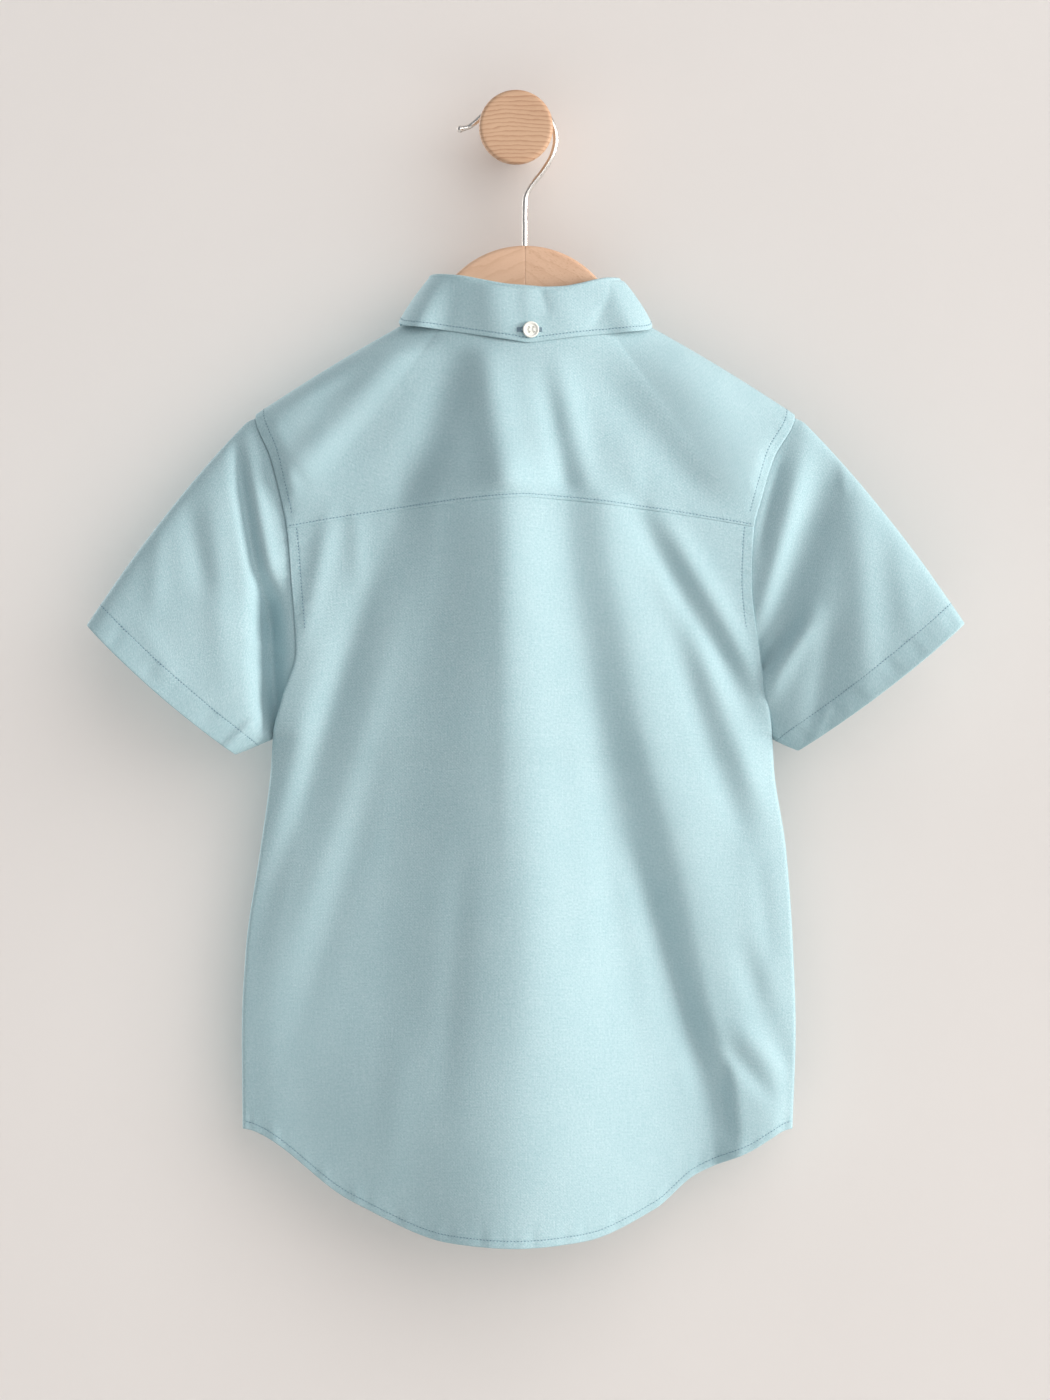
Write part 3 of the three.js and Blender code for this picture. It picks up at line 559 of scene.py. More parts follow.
def downArmhole(z):
    # 0 at the shoulder point and 1 at the underarm
    return np.clip((shoulder["z"] - z) / (shoulder["z"] - armhole["bottomZ"]), 0, 1)


def armholeDepth(z):
    # halfDepth * sin(pi * way down)^roundness
    return armhole["halfDepth"] * np.maximum(np.sin(np.pi * downArmhole(z)), 0) ** armhole["roundness"]


def edgeX(which, z, facing):
    # the side edge; a front armhole is drawn in by frontInset * sin(pi * way down)
    inset = armhole["frontInset"] * np.sin(np.pi * downArmhole(z)) if facing == front else 0
    return column(bodyRows, "left" if which == left else "right", z) - which * inset


def armholePoint(which, facing, z):
    # on the side edge, armholeDepth behind or in front of the side seam
    return point(edgeX(which, z, facing), midY + facing * (armholeDepth(z) + clothGap), z)


def neckDepth(angle):
    # the oval's half depth: backDepth where the cosine is above 0, else frontDepth
    return np.where(np.cos(angle) > 0, neck["backDepth"], neck["frontDepth"])


def neckPoint(degrees, out=0.0, up=0.0):
    # an oval ring whose height falls from its sides to its back and front with cos^2
    angle = np.radians(degrees)
    low = np.where(np.cos(angle) > 0, neck["backZ"], neck["frontZ"])
    x = centreX + (neck["halfWidth"] + out) * np.sin(angle)
    y = midY - (neckDepth(angle) + out) * np.cos(angle)
    return point(x, y, mix(neck["sideZ"], low, np.cos(angle) ** 2) + up)


def yokeSeamZ(x):
    # centreZ - drop * (distance from the middle / dropHalfWidth)^curve
    return yoke["centreZ"] - yoke["drop"] * (np.abs(x - centreX) / yoke["dropHalfWidth"]) ** yoke["curve"]


def hemZ(across, facing):
    # across runs from -1 to 1; the front hem is higher in the middle by frontHemRise
    z = softCurve(hemRows["across"], hemRows["z"], across)
    return z if facing == back else z + frontHemRise * (1 - across**2)


def bodyDepth(facing, x, z):
    # a sharp turn at each side, then a slower rise, plus the long folds and the creases
    leftX, rightX = edgeX(left, z, facing), edgeX(right, z, facing)
    depth, edge = column(bodyRows, "depth", z), armholeDepth(z)
    fromSide = np.maximum(np.minimum(x - leftX, rightX - x), 0)
    sharp = 1 - (1 - np.minimum(fromSide / bodySide["sharpReach"], 1)) ** 3
    soft = 1 - (1 - np.minimum(fromSide / bodySide["softReach"], 1)) ** 2
    bend = mix(soft, np.maximum(sharp, 0) ** (1 / 3), bodySide["sharpShare"])
    folds = backFolds if facing == back else frontFolds
    names = ["hollow", "knee", "crest", "dip", "roll", "far"]
    xs = np.stack([leftX, *(column(folds, n + "X", z) for n in names), rightX], -1)
    ys = np.stack([0 * z, *(column(folds, n, z) for n in names), 0 * z], -1)
    fine = creases(x, z, backCreases if facing == back else frontCreases)
    return mix(edge, np.maximum(depth, edge), bend) + (softCurve(xs, ys, x) + fine) * bend


def bodyPoint(facing, x, z, out=0.0):
    # bodyDepth and out behind or in front of the side seams
    x, z = np.broadcast_arrays(np.asarray(x, float), np.asarray(z, float))
    return point(x, midY + facing * (bodyDepth(facing, x, z) + clothGap + out), z)


def between(last, step, start, end=(0,)):
    # distances from 0 to last about a step apart, after the given close ones at each end
    low, high = start[-1], last - end[-1]
    middle = np.linspace(low, high, max(int((high - low) / step), 2) + 1)
    return np.array([*start[:-1], *middle, *[last - e for e in end[:-1][::-1]]])


closeRows = [0, 0.5, 1.2, 2.2, 3.4, 4.7, 5.6, 6.3, 6.9, 7.7, 9, 11]
edgeRows = [0, 0.4, 1.0, 1.8, 2.8, 4.0, 5.0, 6.0, 7.0, 8.0, 9.5, 11.5]


def hemInside(fromHem, fold, more):
    # how far the turned hem thickens the inner face
    return more * smooth((fold - fromHem) / 0.9) * np.clip(fromHem / 0.9 + 0.25, 0, 1)


# stitches: one short capsule after another along a line, each end sinking into the cloth
stitch = {"pitch": 2.1, "length": 1.2, "radius": 0.25, "sides": 6, "arch": 0.2}


def stitchLine(path, normal, lift=0.38, length=stitch["length"], pitch=stitch["pitch"]):
    # evenly spaced along the path, each with its spine arched by 4 t (1 - t) and a ring at each of five t
    path, normal = np.asarray(path, float), np.asarray(normal, float)
    run = runs(path)
    count = max(int(run[-1] / pitch), 1)
    middles = (np.arange(count) + 0.5) * run[-1] / count

    def at(values, where):
        return np.stack([np.interp(where, run, values[:, k]) for k in range(3)], -1)

    start, out = at(path, middles - length / 2), unit(at(normal, middles))
    along = at(path, middles + length / 2) - start
    across = unit(np.cross(out, along))
    t = np.array([0.0, 0.22, 0.5, 0.78, 1.0])
    size = stitch["radius"] * np.array([0.45, 1, 1.08, 1, 0.45])
    rise = lift - 0.2 + stitch["arch"] * 4 * t * (1 - t)
    angle = np.arange(stitch["sides"]) * 2 * np.pi / stitch["sides"]
    spine = start[:, None] + along[:, None] * t[None, :, None] + out[:, None] * rise[None, :, None]
    size = size[None, :, None, None]
    sideways = np.cos(angle)[None, None, :, None] * across[:, None, None] * size
    upwards = np.sin(angle)[None, None, :, None] * out[:, None, None] * size
    return spine[:, :, None] + sideways + upwards  # stitches, stations, sides, xyz


def stitchPiece(name, lines, finish):
    # all the stitches of a thread in one mesh, with a flat cap on each end
    rings = np.concatenate(lines)
    count, stations, sides = rings.shape[:3]
    quads, number = gridFaces(stations, sides, ring=True)
    caps = np.stack([number[0, :-1][::-1], number[-1, :-1]])
    perStitch = stations * sides
    shift = np.arange(count)[:, None, None] * perStitch
    faces = (quads[None] + shift).reshape(-1, 4).tolist() + (caps[None] + shift).reshape(-1, sides).tolist()
    points = rings.reshape(-1, 3)
    a, b, c = (points[quads[0, k]] for k in (0, 1, 3))
    if np.dot(np.cross(b - a, c - a), a - points[:perStitch].mean(0)) < 0:
        faces = [f[::-1] for f in faces]
    makeMesh(name, points, faces, finish)
    print(f"{name}: {count} stitches")


backCut = {"wide": 300, "tall": 420, "sideBand": 11.5, "hemBand": 11, "underYoke": 3.2, "step": 2.0}


def backPanelGrid():
    # x = side edge + distance across, z = from under the yoke's edge down to the tail hem
    wide, tall, sideBand, hemBand, underYoke, step = backCut.values()
    across = between(wide, step, edgeRows, edgeRows)
    fromHem = tall - between(tall, step, [0, 1, 2, 3, 4], closeRows)[:, None]
    share = across / wide
    cornerL, cornerR = edgeX(left, yoke["cornerZ"], back), edgeX(right, yoke["cornerZ"], back)
    topZ = yokeSeamZ(mix(cornerL, cornerR, share)) + underYoke
    lowZ = hemZ(2 * share - 1, back)
    rest = mix(hemBand, topZ - lowZ, np.clip((fromHem - hemBand) / (tall - hemBand), 0, 1))
    z = lowZ + np.where(fromHem <= hemBand, fromHem, rest)
    leftX, rightX = edgeX(left, z, back), edgeX(right, z, back)
    middle = np.clip((across - sideBand) / (wide - 2 * sideBand), 0, 1)
    x = mix(leftX + sideBand, rightX - sideBand, middle)
    x = np.where(across >= wide - sideBand, rightX - (wide - across), x)
    x = np.where(across <= sideBand, leftX + across, x)
    # the top edge tucks under the yoke, and the armhole band and the hem pucker a little
    tuck = -1.0 * smooth((z - (yokeSeamZ(x) - 0.6)) / 1.8)
    beside = np.minimum(across, wide - across)
    band = smooth((z - seams["backBandEndZ"]) / 14)
    pucker = 0.42 * ripple(z, 8, 1.3) * nearLine(beside - 4, 5) * band
    hemRipple = 0.32 * ripple(x, 17, 4.1) * nearLine(fromHem - 4, 7)
    grid = bodyPoint(back, x, z, tuck + pucker + hemRipple)
    layer = (fromHem < seams["hemEdge"]) * 1.0 + (beside < seams["bandEdge"]) * band
    besideStitch = beside - seams["bandStitch"] + farOff * (1 - band)
    return grid, (fromHem - seams["hemStitch"], besideStitch, layer), fromHem, beside


grid, seam, fromHem, beside = backPanelGrid()
thickness, inside = 0.7 * quarterRound(fromHem, 1.0, 0.12), hemInside(fromHem, seams["hemFold"], 0.8)
normals = clothPiece("backPanel", "back_panel", grid, -1, thickness, inside, seam=seam)
row = nearest(fromHem[:, 0], seams["hemStitch"])
hemStitches = [stitchLine(grid[row, 3:-3], normals[row, 3:-3])]
armholeStitches = []
col = nearest(beside[: len(beside) // 2], seams["bandStitch"])
for col in (col, -1 - col):
    rows = grid[:, col, 2] > seams["backBandEndZ"] + 2
    armholeStitches.append(stitchLine(grid[rows, col], normals[rows, col]))


# the yoke is ruled from the neck ring out to the armholes and the back seam
def yokeOuter():
    # the outer edge from one front corner round the back to the other: its points, the angle on the
    # neck ring that each is joined to, ridge (0 on the shoulder line, 1 at a seam) and its side
    cornerL, cornerR = edgeX(left, yoke["cornerZ"], back), edgeX(right, yoke["cornerZ"], back)
    seamAngle = math.degrees(math.acos(yoke["backCosine"]))
    parts = []
    for which in (left, right):
        cornerZ = yokeSeamZ(cornerL if which == left else cornerR)
        t = np.linspace(0, 1, 34)[:-1]
        behind = armholePoint(which, back, mix(shoulder["z"], cornerZ, t**2))
        backAngles = which * np.degrees(np.arccos(yoke["backCosine"] * t))
        f = np.linspace(0, 1, 17)[1:]
        ahead = armholePoint(which, front, shoulder["z"] - yoke["frontDrop"] * f**2)
        frontAngles = which * np.degrees(np.arccos(yoke["frontCosine"] * f))
        outer = np.concatenate([ahead[::-1], behind])
        angles = np.concatenate([frontAngles[::-1], backAngles])
        ridge = np.concatenate([f[::-1], t])
        facing = np.concatenate([np.full(16, front), np.full(33, back)])
        order = slice(None) if which == left else slice(None, None, -1)
        parts.append((outer[order], angles[order], ridge[order], facing[order]))
    t = np.linspace(0, 1, 141)
    x = mix(cornerL, cornerR, t)
    seamLine = bodyPoint(back, x, yokeSeamZ(x) - 0.4, yoke["under"])
    middle = (seamLine, mix(-seamAngle, seamAngle, t), np.ones(141), np.full(141, back))
    return [np.concatenate(part) for part in zip(parts[0], middle, parts[1])]


yokeCreases = [
    [-138, -136, -160, -276, 0, 30, 4.0], [-70, -124, -160, -190, 0, 12, 2.0],
    [-37, -101, -160, -239, 0, 12, 5.0], [-26, -118, -80, -272, 0, 14, -5.0],
    [-27, -112, 0, -268, 2, 13, 5.0],
    [14, -140, 38, -268, 0, 7, -2.2], [22, -128, 56, -272, 0, 8, 2.6], [36, -136, 146, -266, 0, 14, -4.0],
    [60, -124, 172, -226, 0, 15, 2.4], [34, -124, 62, -272, 0, 26, -4.5],
    [104, -116, 140, -262, 0, 26, 3.5], [66, -196, 92, -280, 0, 7, 1.2],
    [-80, -146, -158, -186, 0, 6, -1.0], [-150, -196, -126, -228, 0, 4, -0.9],
    [100, -136, 150, -170, 0, 5, -0.7],
]


def relax(y, pull, passes):
    # each inner point moves to the weighted mean of its four neighbours
    for _ in range(passes):
        near = [y[:-10, 1:-1], y[2:-8, 1:-1], y[1:-9, :-2], y[1:-9, 2:]]
        y[1:-9, 1:-1] = sum(w * n for w, n in zip(pull, near)) / sum(pull)


def yokeGrid():
    # straight lines from the neck ring to the outer edge, lifted over the hanger, then relaxed
    outer, angles, ridge, facing = yokeOuter()
    inner = neckPoint(angles)
    long = np.linalg.norm(outer - inner, axis=-1)
    fromEdge = between(100, 1.9, [0, 0.4, 0.9, 1.5, 2.2, 3.0, 4.0, 5.0, 6.0, 7.2, 9.0])[::-1, None]
    away = np.where(fromEdge <= 9, fromEdge, mix(9, long * 0.996, np.clip((fromEdge - 9) / 91, 0, 1)))
    share = (1 - away / long)[..., None]
    grid = mix(inner, outer, share)
    arch = 4 * share[..., 0] * (1 - share[..., 0])
    grid[..., 2] += shoulder["rise"] * arch * (1 - ridge**2)
    grid[..., 1] += facing * yoke["overHanger"] * arch * np.sqrt(bump(ridge))
    x, y, z = (grid[..., k] for k in range(3))
    relax(y, [1, 1, 1, 1], 260)
    # behind the shoulders it is relaxed further, each neighbour weighted by 1 / its distance
    behind = np.flatnonzero(facing == back)
    behind = slice(behind[0], behind[-1] + 1)
    onHanger = y[:, behind].copy()
    downStep = np.linalg.norm(np.diff(grid[:, behind], axis=0), axis=-1)[:-8, 1:-1]
    acrossStep = np.linalg.norm(np.diff(grid[:, behind], axis=1), axis=-1)[1:-9]
    pull = [1 / downStep[:-1], 1 / downStep[1:], 1 / acrossStep[:, :-1], 1 / acrossStep[:, 1:]]
    relax(y[:, behind], pull, 220)
    underShoulder = -125 - 0.58 * (abs(x[:, behind]) - 70) - z[:, behind]
    y[:, behind] = mix(onHanger, y[:, behind], smooth((underShoulder - 8) / 26))
    # the lower yoke follows the back's own surface and joins its folds
    onSeam = (ridge >= 1) & (facing == back)
    raised = yoke["under"] * np.where(onSeam, 1, smooth(away / 9))
    follow = bodyPoint(back, x, z, raised)[..., 1]
    y[:] = mix(follow, y, np.where(facing == back, smooth((z + 232) / 46), 1))
    lower = smooth((-z - 128) / 16) * smooth((z + 247) / 34)
    held = smooth(np.minimum(away / 12, 1)) * np.where(facing == back, 1, 0) * smooth(ridge / 0.5)
    y -= creases(x, z, yokeCreases) * held * lower
    stitchAt = np.where(onSeam, seams["yokeStitch"], seams["bandStitch"])
    pucker = np.where(onSeam, 0.12, 0.42) * ripple(runs(outer), 9, 2.2)
    y += facing * pucker * nearLine(fromEdge - stitchAt, 3.5)
    h = np.where(onSeam, fromEdge - seams["yokeStitch"], farOff)
    v = np.where(onSeam, farOff, fromEdge - seams["bandStitch"])
    layer = (fromEdge < np.where(onSeam, seams["yokeEdge"], seams["bandEdge"])) * 1.0
    return grid, (h, v, layer), fromEdge, onSeam


yokePlace, seam, fromEdge, onSeam = yokeGrid()
thickness = 0.8 * np.sqrt(np.clip(fromEdge / 0.9, 0.2, 1))
normals = clothPiece("backYoke", "back_yoke", yokePlace, -1, thickness, seam=seam)
row = nearest(fromEdge[:, 0], seams["yokeStitch"])
yokeStitches = [stitchLine(yokePlace[row, onSeam], normals[row, onSeam], 0.42)]
row = nearest(fromEdge[:, 0], seams["bandStitch"])
ends = np.flatnonzero(onSeam)
for part in (slice(0, ends[0]), slice(ends[-1] + 1, None)):
    armholeStitches.append(stitchLine(yokePlace[row, part], normals[row, part], 0.42))
print("back made")

# the fronts hang from the yoke's front edge and the neck; a share of 0 is the side, 1 the lap's end
frontShape = {
    "seamShare": 0.56, "lapShare": 0.835, "settleBy": 0.22, "halfBand": 14, "lapStep": 1.3,
    "hemLevel": -640, "sideShare": 0.09, "settleZ": 0.6,
}
frontNeckAngle = math.degrees(math.acos(yoke["frontCosine"]))
lapAngle = math.degrees(frontShape["halfBand"] / neck["halfWidth"])


def frontTop(which, share):
    # along the yoke's front edge to the neck, then round the neck ring to the lap's end
    armEnd = armholePoint(which, front, shoulder["z"] - yoke["frontDrop"])
    neckEnd = neckPoint(which * frontNeckAngle)
    alongSeam = mix(armEnd, neckEnd, np.clip(share / frontShape["seamShare"], 0, 1)[..., None])
    knots = [frontShape["seamShare"], frontShape["lapShare"], 1]
    turn = np.interp(share, knots, [frontNeckAngle, 180 - lapAngle, 180 + lapAngle])
    return np.where((share <= frontShape["seamShare"])[..., None], alongSeam, neckPoint(which * turn))


def frontPoint(which, share, down):
    # down from the top edge to the hem, settling on the body's surface over the first settleBy
    share, down = np.broadcast_arrays(np.asarray(share, float), np.asarray(down, float))
    start = frontTop(which, share)
    start[..., 2] -= frontShape["settleZ"]
    lapShare, half = frontShape["lapShare"], frontShape["halfBand"]
    lapX, middleX = centreX + which * half, centreX - which * half

    def acrossAt(z):
        edge = edgeX(which, z, front)
        over = mix(lapX, middleX, (share - lapShare) / (1 - lapShare))
        return np.where(share <= lapShare, mix(edge, lapX, share / lapShare), over)

    level = np.full(share.shape, float(frontShape["hemLevel"]))
    leftX, rightX = edgeX(left, level, front), edgeX(right, level, front)
    hemAcross = 2 * (acrossAt(level) - leftX) / (rightX - leftX) - 1
    z = mix(start[..., 2], hemZ(hemAcross, front), down)
    p = bodyPoint(front, acrossAt(z), z)
    unsettled = 1 - smooth(down / frontShape["settleBy"])
    startX = acrossAt(start[..., 2])
    p[..., 0] += (start[..., 0] - startX) * unsettled
    p[..., 1] += (start[..., 1] - bodyPoint(front, startX, start[..., 2])[..., 1]) * unsettled
    if which == right:
        p[..., 1] -= frontShape["lapStep"] * smooth((centreX + 2 * half - p[..., 0]) / half)
    return p


def frontShares():
    # close together at the side edge, where the cloth turns
    turn = 1 - np.cos(np.linspace(0, 1, 12) * np.pi / 2)
    side, lap, seamShare = (frontShape[key] for key in ("sideShare", "lapShare", "seamShare"))
    middle = [*np.linspace(side, seamShare, 34)[1:], *np.linspace(seamShare, lap, 22)[1:]]
    return np.array([*(side * turn), *middle, *np.linspace(lap, 1, 15)[1:]])


frontDown = np.array([
    *np.linspace(0, 0.984, 200), 0.9873, 0.9893, 0.991, 0.9935, 0.9955, 0.9972, 0.999, 1.0,
])
for which, name, node in ((left, "leftFront", "left_front"), (right, "rightFront", "right_front")):
    grid = frontPoint(which, frontShares(), frontDown[:, None])
    x, z = grid[..., 0], grid[..., 2]
    fromHem, beside = z - z[-1:], abs(x - edgeX(which, z, front))
    band = smooth((z - seams["frontBandEndZ"]) / 14)
    besideStitch = beside - seams["bandStitch"] + farOff * (1 - band)
    seam = fromHem - seams["hemStitch"], besideStitch, fromHem < seams["hemEdge"]
    inside = hemInside(fromHem, seams["hemFold"], 0.8)
    normals = clothPiece(name, node, grid, -which, 0.7, inside, seam=seam)
    row = nearest(fromHem[:, 40], seams["hemStitch"])
    hemStitches.append(stitchLine(grid[row, 3:-3], normals[row, 3:-3]))
    col = nearest(beside[100], seams["bandStitch"])
    rows = z[:, col] > seams["frontBandEndZ"] + 2
    armholeStitches.append(stitchLine(grid[rows, col], normals[rows, col]))

# the button band lies on the left front's edge
bandWidth = 28
bandAcross = np.array([
    0, 0.02, 0.05, 0.1, 0.16, 0.214, 0.28, 0.36, 0.45, 0.55, 0.64, 0.72, 0.786, 0.84, 0.9, 0.95, 0.98, 1,
])


def placketPoint(across, down):
    # the left front's lap, one cloth further out
    p = frontPoint(left, mix(frontShape["lapShare"], 1, across), down)
    p[..., 1] += frontShape["lapStep"]
    return p


grid = placketPoint(bandAcross, np.maximum(frontDown, 0.003)[:, None])
bandX = bandAcross * bandWidth
edge = np.minimum(bandX, bandWidth - bandX)
seam = farOff, edge - seams["bandStitch"], 0
normals = clothPiece("placketBand", "placket", grid, 1, 0.9 * quarterRound(edge, 1.2, 0.15), seam=seam)
placketStitches = [stitchLine(grid[3:-3, col], normals[3:-3, col], 0.48) for col in (5, 12)]
print("fronts made")

# the collar's stand rises from the neck seam, and the leaf turns over its top and falls outside
foldRows = table("degrees z", [
    [-180, -133], [-160, -128], [-135, -112.5], [-110, -96], [-90, -90.9], [-72, -90.6], [-45.7, -91.9],
    [-27.4, -94.8], [-11.7, -97.6], [3, -98.9], [12, -99.6], [24, -99.1], [34.4, -97.4], [50.4, -94.3],
    [63, -92.9], [90, -92.4], [110, -97], [135, -112.5], [160, -128], [180, -133],
])
leafEdgeRows = table("degrees z", [
    [-147, -190], [-135, -169], [-120, -146], [-105, -128], [-90, -119.6], [-75, -122.2], [-52, -124.8],
    [-23.7, -129.7], [-7.8, -132.6], [2.7, -134.3], [9.3, -133.4], [29.3, -130.3], [51, -127.8],
    [75, -125.2],
    [90, -121.8], [105, -129], [120, -146], [135, -169], [147, -190],
])
collar = {
    "foldOut": -2.95, "foldRadius": 1.5, "endAngle": 174, "edgeAngle": 147, "backSpread": 3.6,
    "sideSpread": 17.3, "rest": 1.2, "stitch": 3.1, "stitchEdge": 3.6, "degree": 1.25,
}


def foldPoint(degrees, out, up):
    # the neck's oval widened by out, with its height read from foldRows
    angle = np.radians(degrees)
    z = softCurve(foldRows["degrees"], foldRows["z"], np.clip(degrees, -180, 180))
    x = centreX + (neck["halfWidth"] + out) * np.sin(angle)
    return point(x, midY - (neckDepth(angle) + out) * np.cos(angle), z + up)


nearNeck = (yokePlace[..., 1] < midY) & (abs(yokePlace[..., 0]) < 90) & (yokePlace[..., 2] > -160)
yokeBack = yokePlace[nearNeck]


def yokeDepth(x, z):
    # the yoke's depth at x and z: the mean of its near points weighted by exp(-(distance / 1.5 mm)^2)
    square = (x[:, None] - yokeBack[:, 0]) ** 2 + (z[:, None] - yokeBack[:, 2]) ** 2
    weight = np.exp(-(square - square.min(1, keepdims=True)) / 2.25)
    return (weight * yokeBack[:, 1]).sum(1) / weight.sum(1)


def leafEdge(degrees):
    # the neck's oval spread by backSpread to sideSpread, then laid on the yoke and over the fronts
    turned = abs(degrees)
    drawnIn = (collar["edgeAngle"] - 90) / (collar["endAngle"] - 90)
    angle = np.where(turned <= 90, turned, 90 + (turned - 90) * drawnIn) * np.sign(degrees)
    wide = np.sin(np.radians(angle))
    out = mix(collar["backSpread"], collar["sideSpread"], wide**2) + 1.2 * bump((abs(angle) - 40) / 50)
    p = neckPoint(angle, out)
    p[..., 2] = softCurve(leafEdgeRows["degrees"], leafEdgeRows["z"], angle)
    lying = smooth((64 - abs(angle)) / 24)
    p[..., 1] = mix(p[..., 1], yokeDepth(p[..., 0], p[..., 2]) - collar["rest"], lying)
    frontShare = np.clip((abs(angle) - 90) / (collar["edgeAngle"] - 90), 0, 1)
    outside = bodyPoint(front, p[..., 0], np.minimum(p[..., 2], shoulder["z"]))[..., 1] + 2.6
    p[..., 1] = mix(p[..., 1], np.maximum(p[..., 1], outside), smooth((frontShare - 0.3) / 0.4))
    return p


leafCreases = [  # degrees and fall of both ends, bow, width in degrees, height
    [-20, -0.4, -12, 1.3, 0, 12, 2.6], [-50, -0.2, -46, 1.1, 0, 9, -0.4], [0, -0.3, 3, 0.8, 0, 5, 0.7],
    [18, -0.4, 27, 1.3, 0, 9, 0.9], [66, -0.1, 30, 1.1, 0, 4, -0.8], [84, -0.4, 78, 1.3, 0, 14, 2.2],
    [8, -0.2, 14, 0.6, 0, 3, -0.6],
]


def leafGrid():
    # an arc of foldRadius over the stand's top, then straight lines from it to the leaf's edge
    ends = np.array([174, 173.8, 173.4, 172.9, 172.2, 171.4])
    degrees = np.concatenate([-ends, np.linspace(-170.5, 170.5, 342), ends[::-1]])
    radius, out = collar["foldRadius"], collar["foldOut"]
    turn = np.radians([-15, 5, 25, 45, 65, 85, 105, 125, 145, 165, 180])
    arc = [foldPoint(degrees, out - radius * np.cos(t), radius * (np.sin(t) - 1)) for t in turn]
    start, edge = foldPoint(degrees, out + radius, -radius), leafEdge(degrees)
    long = np.linalg.norm(edge - start, axis=-1)
    fromEdge = np.array([*np.linspace(60, 7, 24), 6, 5, 4.2, 3.6, 3.1, 2.6, 2.0, 1.4, 0.9, 0.4, 0])[:, None]
    away = np.where(fromEdge <= 7, fromEdge, mix(7, long - 0.8, (fromEdge - 7) / 53))
    fall = 1 - away / long
    flat = mix(start, edge, fall[..., None])
    # the fall bellies out a little between the fold and its edge
    angle = np.radians(degrees)
    belly = 1.5 * bump(fall) * (1 - 0.4 * abs(np.sin(angle)))
    rows = [[a, b * 40, c, d * 40, *rest] for a, b, c, d, *rest in leafCreases]
    belly = belly + creases(np.broadcast_to(degrees, fall.shape), fall * 40, rows)
    flat[..., 0] += belly * np.sin(angle)
    flat[..., 1] -= belly * np.cos(angle)
    beside = np.concatenate([np.full((len(turn), 1), farOff), fromEdge])
    fromEnd = (collar["endAngle"] - abs(degrees)) * collar["degree"]
    endStitch = np.minimum(fromEnd - collar["stitch"], farOff)
    seam = beside - collar["stitch"], endStitch, beside < collar["stitchEdge"]
    return np.concatenate([np.stack(arc), flat]), seam, beside, degrees, len(turn)


leafPlace, seam, beside, leafDegrees, foldCount = leafGrid()
thickness = 0.9 * quarterRound(beside, 1.1, 0.12)
leafNormal = clothPiece("collarLeaf", "collar_leaf", leafPlace, -1, thickness, seam=seam)
row = nearest(beside[:, 0], collar["stitch"])
collarStitches = [stitchLine(leafPlace[row, 6:-6], leafNormal[row, 6:-6], 0.52)]
for col in (6, -7):
    collarStitches.append(stitchLine(leafPlace[12:row + 1, col], leafNormal[12:row + 1, col], 0.52))


def standPoint(degrees, rise):
    # from the neck seam up to the fold with a slight bulge, one end tucked under the other
    angle = np.radians(degrees)
    under = -1.3 * smooth((degrees - 150) / 20)
    out = collar["foldOut"] - collar["foldRadius"] + under
    wrapped = np.where(degrees > 180, 360 - degrees, np.where(degrees < -180, -360 - degrees, degrees))
    top = foldPoint(wrapped, out, -collar["foldRadius"] - 0.3)
    top[..., 0] = centreX + (neck["halfWidth"] + out) * np.sin(angle)
    p = mix(neckPoint(degrees, under, 1.1), top, rise[..., None])
    p[..., 0] += bump(rise) * np.sin(angle)
    p[..., 1] -= bump(rise) * np.cos(angle)
    return p


standRise = np.array([0, 0.03, 0.08, 0.15, 0.24, 0.34, 0.45, 0.56, 0.67, 0.77, 0.86, 0.93, 1.0])
degrees, rise = np.meshgrid(np.linspace(-190, 190, 300), standRise)
grid = standPoint(degrees, rise)
normals = clothPiece("collarStand", "collar_stand", grid, 1, 0.8, seam=(rise * 20 - 1.8, farOff, 0))
collarStitches.append(stitchLine(grid[2], normals[2], 0.42))
print("collar made")

# each sleeve is a ring at the armhole carried out to a flat cuff
sleeves = {
    left: {
        "topX": -265.4, "topZ": -308.8, "lowX": -174.8, "lowZ": -388.7, "bow": 2.8, "deep": 15, "swing": 15,
    },
    right: {
        "topX": 275.6, "topZ": -308.1, "lowX": 176, "lowZ": -386.3, "bow": 2.4, "deep": 16, "swing": 33,
    },
}
sleeveCreases = {
    left: [
        [-177, -172, -150, -326, -2, 4.6, -6.8], [-170, -180, -140, -322, -1, 5, 2.8],
        [-190, -190, -178, -372, 0, 9, 1.6],
        [-153, -268, -148, -392, -2, 8.5, -22.0], [-206, -222, -188, -300, 0, 8, -2.2],
        [-220, -228, -224, -312, 0, 6, 1.2],
        [-172, -318, -140, -323, 0, 2.2, 1.4], [-170, -332, -140, -331, 0, 2.2, -1.2],
        [-196, -400, -152, -358, 0, 3.2, 2.4],
        [-236, -300, -206, -352, 0, 7, 0.9],
    ],
    right: [
        [168, -190, 149, -272, -1, 3.5, -2.0], [184, -170, 138, -346, 3, 6.5, 3.4],
        [206, -170, 142, -352, 4, 13, -7.0],
        [212, -206, 214, -372, 0, 11, 3.0], [140, -340, 184, -296, 0, 8, -5.0],
        [146, -372, 190, -290, 3, 8, 6.0],
        [182, -370, 198, -296, 0, 7, -2.0], [232, -244, 244, -326, 0, 8, 1.2],
        [180, -392, 196, -350, 0, 4, 1.6],
        [203, -200, 203, -232, 0, 3, 1.2], [172, -420, 200, -320, 0, 10, -3.0],
    ],
}
cuffFold = {"stitch": 15.3, "edge": 15.8, "fold": 16.2}


